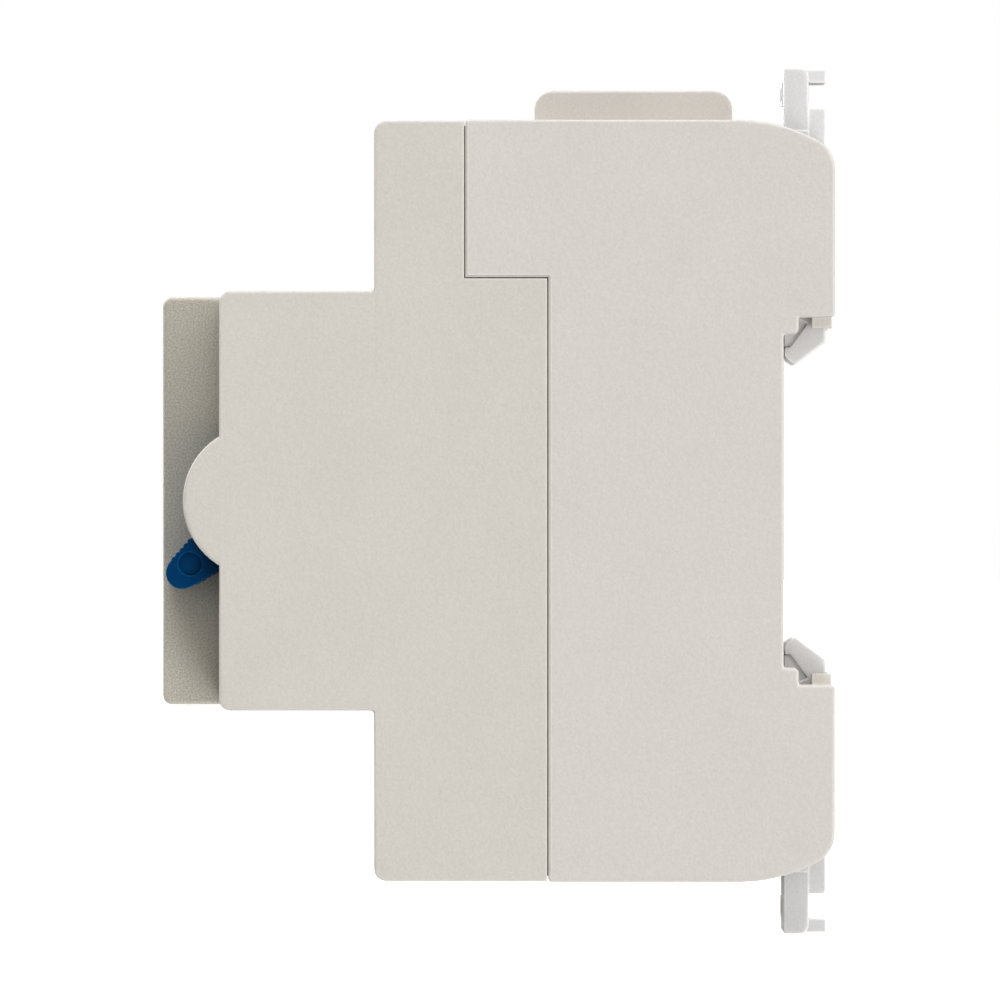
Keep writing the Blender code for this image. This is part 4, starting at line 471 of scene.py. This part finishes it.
def metal(name, colour, second, roughness, brush=(1.0, 1.0, 1.0), stain=None):
    """Plated or drawn metal with fine streaks, blotches of two colours and, where stain is a
    colour, faint stains. brush squeezes the streaks along each axis."""
    shade = Shade(name, metallic=1.0)
    streaks = shade.noise(STREAK_WIDTH, detail=3.0, roughness=0.6, place=shade.stretch(brush))
    blotches = shade.noise(BLOTCH_SIZE, detail=4.0, roughness=0.6)
    tone = shade.mix(shade.ramp(blotches, BLOTCH_SPAN), colour, second)
    if stain is not None:
        stains = shade.noise(STAIN_SIZE, detail=4.0, roughness=0.7)
        tone = shade.mix(shade.ramp(stains, STAIN_SPAN, (0.0, STAIN_SHARE)), tone, stain)
    rubbed = shade.math("MULTIPLY", shade.edge_mask(RUBBED_WIDTH), RUBBED_GLOSS)
    brushed = shade.ramp(streaks, NOISE_SPAN, [roughness + change for change in STREAK_GLOSS])
    normal = shade.bump(streaks, STREAK_DEPTH, shade.soft_edges(METAL_ROUNDING))
    return shade.finish(colour=tone, roughness=shade.math("ADD", brushed, rubbed), normal=normal)


# slot, name, colour, second colour, roughness, and what else differs from other metals
METALS = (
    ("steel", "steel_turned", (0.52, 0.53, 0.55), (0.46, 0.47, 0.49), 0.30,
     dict(brush=(1.0, 6.0, 1.0))),
    ("spring_steel", "steel_spring", (0.40, 0.41, 0.43), (0.34, 0.35, 0.37), 0.34, {}),
    ("zinc", "steel_zinc_plated", (0.60, 0.60, 0.585), (0.55, 0.56, 0.58), 0.32,
     dict(brush=(1.0, 1.0, 4.0), stain=(0.50, 0.47, 0.38))),
    ("copper", "copper_rolled", (0.66, 0.34, 0.21), (0.58, 0.29, 0.18), 0.34,
     dict(brush=(6.0, 1.0, 1.0), stain=(0.30, 0.15, 0.10))),
    ("core_dark", "core_ribbon", (0.14, 0.14, 0.15), (0.10, 0.10, 0.11), 0.45,
     dict(brush=(1.0, 8.0, 1.0))),
)

# ---------------------------------------------------------------- label and window

FILM_BRUSH = 0.10                    # width of the film's brushed lines
FILM_LINES = (1.0, 1.0, 0.04)        # draws them out along Z
FILM_COLOURS = ((0.62, 0.625, 0.62), (0.70, 0.705, 0.70))
FILM_PATCH = 2.6
FILM_ROUGHNESS = (0.30, 0.40)
FILM_DEPTH, FILM_ROUNDING = 0.002, 0.08
HAZE_SIZE = 0.8
HAZE_SPAN = (0.45, 0.75)
HAZE_ROUGHNESS = (0.04, 0.16)
WAVE_LENGTH, WAVE_DEPTH = 2.2, 0.012
WINDOW_ROUNDING = 0.12


def make_label_film():
    """Satin polyester film with hair-fine brushing and slightly dull patches."""
    shade = Shade("label_film")
    lines = shade.noise(FILM_BRUSH, detail=3.0, roughness=0.6, place=shade.stretch(FILM_LINES))
    tone = shade.mix(shade.ramp(lines, NOISE_SPAN), *FILM_COLOURS)
    gloss = shade.ramp(shade.noise(FILM_PATCH, detail=3.0), NOISE_SPAN, FILM_ROUGHNESS)
    normal = shade.bump(lines, FILM_DEPTH, shade.soft_edges(FILM_ROUNDING))
    return shade.finish(colour=tone, roughness=gloss, normal=normal)


def make_window():
    """Clear moulded window, a little wavy, with a faint haze."""
    shade = Shade("window_acrylic")
    haze = shade.ramp(shade.noise(HAZE_SIZE, detail=4.0), HAZE_SPAN, HAZE_ROUGHNESS)
    waves = shade.noise(WAVE_LENGTH, detail=1.0)
    normal = shade.bump(waves, WAVE_DEPTH, shade.soft_edges(WINDOW_ROUNDING))
    return shade.finish(colour=(0.93, 0.95, 0.96), transmission=0.92, ior=1.49, roughness=haze,
                        normal=normal)


def make_materials():
    """All materials, by the slot that each one is for."""
    made = {"label": make_label_film(), "window_clear": make_window()}
    for make, table in ((moulded_plastic, PLASTICS), (metal, METALS)):
        for slot, name, colour, second, roughness, extra in table:
            made[slot] = make(name, colour, second, roughness, **extra)
    return made


materials = make_materials()

# ---------------------------------------------------------------- shading of the CAD pieces

SMOOTH_ANGLE = 32.0
WELD_DISTANCE = 0.002
FACE_WEIGHT = 80             # how far large faces lead the normals


def smooth_group():
    """Welds split vertices and shades smooth below SMOOTH_ANGLE."""
    group = bpy.data.node_groups.new("smooth_faces", "GeometryNodeTree")
    for in_out in ("INPUT", "OUTPUT"):
        group.interface.new_socket("Geometry", in_out=in_out, socket_type="NodeSocketGeometry")
    nodes, links = group.nodes, group.links
    start = nodes.new("NodeGroupInput")
    drop = nodes.new("GeometryNodeRemoveAttribute")
    drop.inputs["Name"].default_value = "custom_normal"
    weld = nodes.new("GeometryNodeMergeByDistance")
    weld.inputs["Distance"].default_value = WELD_DISTANCE * MM
    faces = nodes.new("GeometryNodeSetShadeSmooth")
    faces.domain = "FACE"
    angle = nodes.new("GeometryNodeInputMeshEdgeAngle")
    below = nodes.new("FunctionNodeCompare")
    below.data_type = "FLOAT"
    below.operation = "LESS_THAN"
    below.inputs[1].default_value = math.radians(SMOOTH_ANGLE)
    edges = nodes.new("GeometryNodeSetShadeSmooth")
    edges.domain = "EDGE"
    end = nodes.new("NodeGroupOutput")
    links.new(start.outputs[0], drop.inputs["Geometry"])
    links.new(drop.outputs["Geometry"], weld.inputs["Geometry"])
    links.new(weld.outputs["Geometry"], faces.inputs["Geometry"])
    links.new(faces.outputs["Geometry"], edges.inputs["Geometry"])
    links.new(angle.outputs["Unsigned Angle"], below.inputs[0])
    links.new(below.outputs["Result"], edges.inputs["Shade Smooth"])
    links.new(edges.outputs["Geometry"], end.inputs[0])
    return group


def smooth_shading(obj, group):
    obj.modifiers.new("smooth_faces", "NODES").node_group = group
    weighted = obj.modifiers.new("weighted_normals", "WEIGHTED_NORMAL")
    weighted.keep_sharp = True
    weighted.weight = FACE_WEIGHT


def dress_cad():
    """Gives each CAD piece the material of its slot, and the base its own, paler one."""
    group = smooth_group()
    for name, obj in frame["nodes"].items():
        smooth_shading(obj, group)
        for slot in obj.material_slots:
            slot.material = materials["base" if name == "rear_base" else slot.material.name]


dress_cad()

# ---------------------------------------------------------------- mesh helpers

POINTS_MEET = 0.0001         # points closer than this are one
MITRE_LIMIT = 0.3            # the least cosine at a bend, so that no corner runs away
# turns the X, Y and Z of an outline into the part's Y, Z and X
STAND_UP = Matrix(((0, 0, 1, 0), (1, 0, 0, 0), (0, 1, 0, 0), (0, 0, 0, 1)))


def new_piece(name, mesh, material, body, smooth=True):
    """A piece of the visual model that moves with a body."""
    obj = bpy.data.objects.new(name, mesh)
    mesh.name = name
    bpy.context.scene.collection.objects.link(obj)
    mesh.materials.clear()
    mesh.materials.append(materials[material])
    if smooth:
        mesh.shade_smooth()
        mesh.set_sharp_from_angle(angle=math.radians(SMOOTH_ANGLE))
    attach(obj, body)
    return obj


def curve_mesh(name, curve):
    """The mesh of a curve or text."""
    obj = bpy.data.objects.new(name, curve)
    bpy.context.scene.collection.objects.link(obj)
    bpy.context.view_layer.update()
    evaluated = obj.evaluated_get(bpy.context.evaluated_depsgraph_get())
    mesh = bpy.data.meshes.new_from_object(evaluated)
    bpy.data.objects.remove(obj)
    return mesh


def pulled(outline, span):
    """A mesh from a closed outline of (Y, Z) points, pulled along X between two places."""
    curve = bpy.data.curves.new("outline", "CURVE")
    curve.dimensions = "2D"
    curve.fill_mode = "BOTH"
    curve.extrude = (span[1] - span[0]) / 2 * MM
    spline = curve.splines.new("POLY")
    spline.points.add(len(outline) - 1)
    for point, (y, z) in zip(spline.points, outline):
        point.co = (y * MM, z * MM, 0.0, 1.0)
    spline.use_cyclic_u = True
    mesh = curve_mesh("outline", curve)
    mesh.transform(STAND_UP @ Matrix.Translation((0.0, 0.0, (span[0] + span[1]) / 2 * MM)))
    bm = bmesh.new()
    bm.from_mesh(mesh)
    bmesh.ops.remove_doubles(bm, verts=bm.verts, dist=POINTS_MEET * MM)
    bmesh.ops.recalc_face_normals(bm, faces=bm.faces)
    bm.to_mesh(mesh)
    bm.free()
    return mesh


def box_mesh(low, high):
    """A box between two corners."""
    bm = bmesh.new()
    bmesh.ops.create_cube(bm, size=1.0)
    for vert in bm.verts:
        for axis in range(3):
            vert.co[axis] = (low[axis] if vert.co[axis] < 0 else high[axis]) * MM
    mesh = bpy.data.meshes.new("box")
    bm.to_mesh(mesh)
    bm.free()
    return mesh


def joined(meshes):
    """One mesh of several."""
    bm = bmesh.new()
    for mesh in meshes:
        bm.from_mesh(mesh)
    result = bpy.data.meshes.new("joined")
    bm.to_mesh(result)
    bm.free()
    return result


def band(path, half):
    """Outline of a strip of constant width along an open path."""
    left, right = [], []
    for index, point in enumerate(path):
        here = Vector(point)
        ahead = Vector(path[min(index + 1, len(path) - 1)]) - here
        behind = here - Vector(path[max(index - 1, 0)])
        first = (behind if behind.length else ahead).normalized()
        second = (ahead if ahead.length else behind).normalized()
        side = Vector((-first.y - second.y, first.x + second.x))
        side = side / side.length
        reach = half / max(side.dot(Vector((-first.y, first.x))), MITRE_LIMIT)
        left.append(tuple(here + side * reach))
        right.append(tuple(here - side * reach))
    return left + right[::-1]


# ---------------------------------------------------------------- joint of the housing

HALF_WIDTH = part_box("front_cover")[1].x / MM
END_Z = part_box("front_cover")[1].z / MM
WALL = 1.6
WALL_REST = 0.05             # of the wall, from its inner side to the strips in the joint
UPPER_SPLIT_Y, LOWER_SPLIT_Y = -34.1, -25.2
SPLIT_STEP_Z = 24.0          # where the joint steps from the one to the other
TONGUE_HALF = 0.14           # nearly all of the joint, which is 0.3 wide
TONGUE_DEPTH = 0.55          # below the outside
LIP_HALF = 0.07              # half of the joint, on the side of the base
LIP_DEPTH = 0.05


def seam_strip(shift, half, depth):
    """A strip all round in the joint, moved by shift toward the base, depth below the outside."""
    outer, inner = HALF_WIDTH - depth, HALF_WIDTH - WALL + WALL_REST
    top, low_top = END_Z - depth, END_Z - WALL + WALL_REST
    upper, lower, step = UPPER_SPLIT_Y + shift, LOWER_SPLIT_Y + shift, SPLIT_STEP_Z + shift
    outline = band([(upper, top), (upper, step), (lower, step), (lower, -top)], half)
    strips = [pulled(outline, span) for span in ((inner, outer), (-outer, -inner))]
    for y, low, high in ((upper, low_top, top), (lower, -top, -low_top)):
        strips.append(box_mesh((-inner, y - half, low), (inner, y + half, high)))
    return joined(strips)


def make_seam():
    """The tongue that closes the joint, and the base's lip that narrows it outside."""
    new_piece("seam_tongue", seam_strip(0.0, TONGUE_HALF, TONGUE_DEPTH), "tongue", "housing")
    new_piece("seam_lip", seam_strip(LIP_HALF, LIP_HALF, LIP_DEPTH), "base", "housing")


make_seam()

# ---------------------------------------------------------------- springs that are pressed

# the CAD node, the joint that presses it, turns, points in a turn, radius of the wire
PRESSED_SPRINGS = (
    ("test_button_spring", "test_button_slide", 5, 10, 0.25),
    ("upper_clip_spring", "upper_clip_slide", 6, 8, 0.30),
    ("lower_clip_spring", "lower_clip_slide", 6, 8, 0.30),
)
WIRE_STEPS = 2               # makes a wire with eight sides
JOINTS = {joint["name"]: joint for joint in frame["joints"]}


def coil_mesh(low, high, direction, turns, per_turn, wire):
    """A wire wound inside a box, from the end that is pressed to the end that stands still."""
    along = max(range(3), key=lambda index: abs(direction[index]))
    across, up = (along + 1) % 3, (along + 2) % 3
    radius = max(high[across] - low[across], high[up] - low[up]) / 2 - wire
    ends = (low[along] + wire, high[along] - wire)
    start, end = ends if direction[along] > 0 else ends[::-1]
    curve = bpy.data.curves.new("coil", "CURVE")
    curve.dimensions = "3D"
    curve.bevel_depth = wire * MM
    curve.bevel_resolution = WIRE_STEPS
    curve.use_fill_caps = True
    spline = curve.splines.new("POLY")
    count = turns * per_turn
    spline.points.add(count)
    for step, point in enumerate(spline.points):
        angle = math.tau * step / per_turn
        place = (low + high) / 2
        place[along] = start + (end - start) * step / count
        place[across] += radius * math.cos(angle)
        place[up] += radius * math.sin(angle)
        point.co = (*(place * MM), 1.0)
    return curve_mesh("coil", curve)


def make_pressed_springs():
    """Coils wound along each joint's axis, in place of the stiff CAD ones, on the joint's parent
    body.
    """
    for node, joint_name, turns, per_turn, wire in PRESSED_SPRINGS:
        joint = JOINTS[joint_name]
        low, high = (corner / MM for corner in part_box(node))
        direction = Vector(joint["axis"])
        mesh = coil_mesh(low, high, direction, turns, per_turn, wire)
        coil = new_piece(node + "_coil", mesh, "spring_steel", joint["parent"])
        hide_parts(node)
        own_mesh(coil)


make_pressed_springs()

# ---------------------------------------------------------------- printed marks

INK = 0.03                   # thickness of the printing
INK_GAP = 0.005              # between the printing and its face
CAPITAL = 0.7                # height of a capital, to the font's size
LETTER_STEPS = 6
TERMINAL_MARK = 2.0          # height
TERMINAL_X, TERMINAL_Z = 9.0, 37.9
LEVER_MARK = 2.6             # height
LEVER_MARK_X, LEVER_MARK_Z = 8.6, 12.6
BUTTON_MARK = 2.4            # height
BUTTON_DISH = 0.25           # how far the button's face is dished
BUTTON_MARK_FRONT = 0.4      # how far the mark lies below the rim, to the dish
BUTTON_MARK_THICKNESS = 0.7  # to the dish: the mark reaches into the button all over it


def printed(name, text, height, place, body, thickness=INK):
    """A word printed on a face that looks toward -Y; place is the middle of its front."""
    curve = bpy.data.curves.new(name, "FONT")
    curve.body = text
    curve.size = height * MM / CAPITAL
    curve.extrude = thickness / 2 * MM
    curve.align_x = "CENTER"
    curve.align_y = "CENTER"
    curve.resolution_u = LETTER_STEPS
    mesh = curve_mesh(name, curve)
    middle = Vector(place) + Vector((0.0, thickness / 2, 0.0))
    upright = Matrix.Rotation(math.radians(90.0), 4, "X")
    mesh.transform(Matrix.Translation(middle * MM) @ upright)
    return new_piece(name, mesh, "ink", body, smooth=False)


def make_marks():
    """Numbers at the terminals, I and O by the lever, and T on the test button."""
    above = -INK - INK_GAP
    for text, x, z in (("1", -TERMINAL_X, TERMINAL_Z), ("3", TERMINAL_X, TERMINAL_Z),
                       ("2", -TERMINAL_X, -TERMINAL_Z), ("4", TERMINAL_X, -TERMINAL_Z)):
        place = (x, SHOULDER_Y + above, z)
        printed("terminal_number_" + text, text, TERMINAL_MARK, place, "housing")
    for name, text, z in (("mark_on", "I", LEVER_MARK_Z), ("mark_off", "O", -LEVER_MARK_Z)):
        printed(name, text, LEVER_MARK, (LEVER_MARK_X, FRONT_Y + above, z), "housing")
    low, high = (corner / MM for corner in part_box("test_button"))
    place = ((low.x + high.x) / 2, low.y + BUTTON_MARK_FRONT * BUTTON_DISH,
             (low.z + high.z) / 2)
    printed("mark_test", "T", BUTTON_MARK, place, "button",
            thickness=BUTTON_MARK_THICKNESS * BUTTON_DISH)


make_marks()
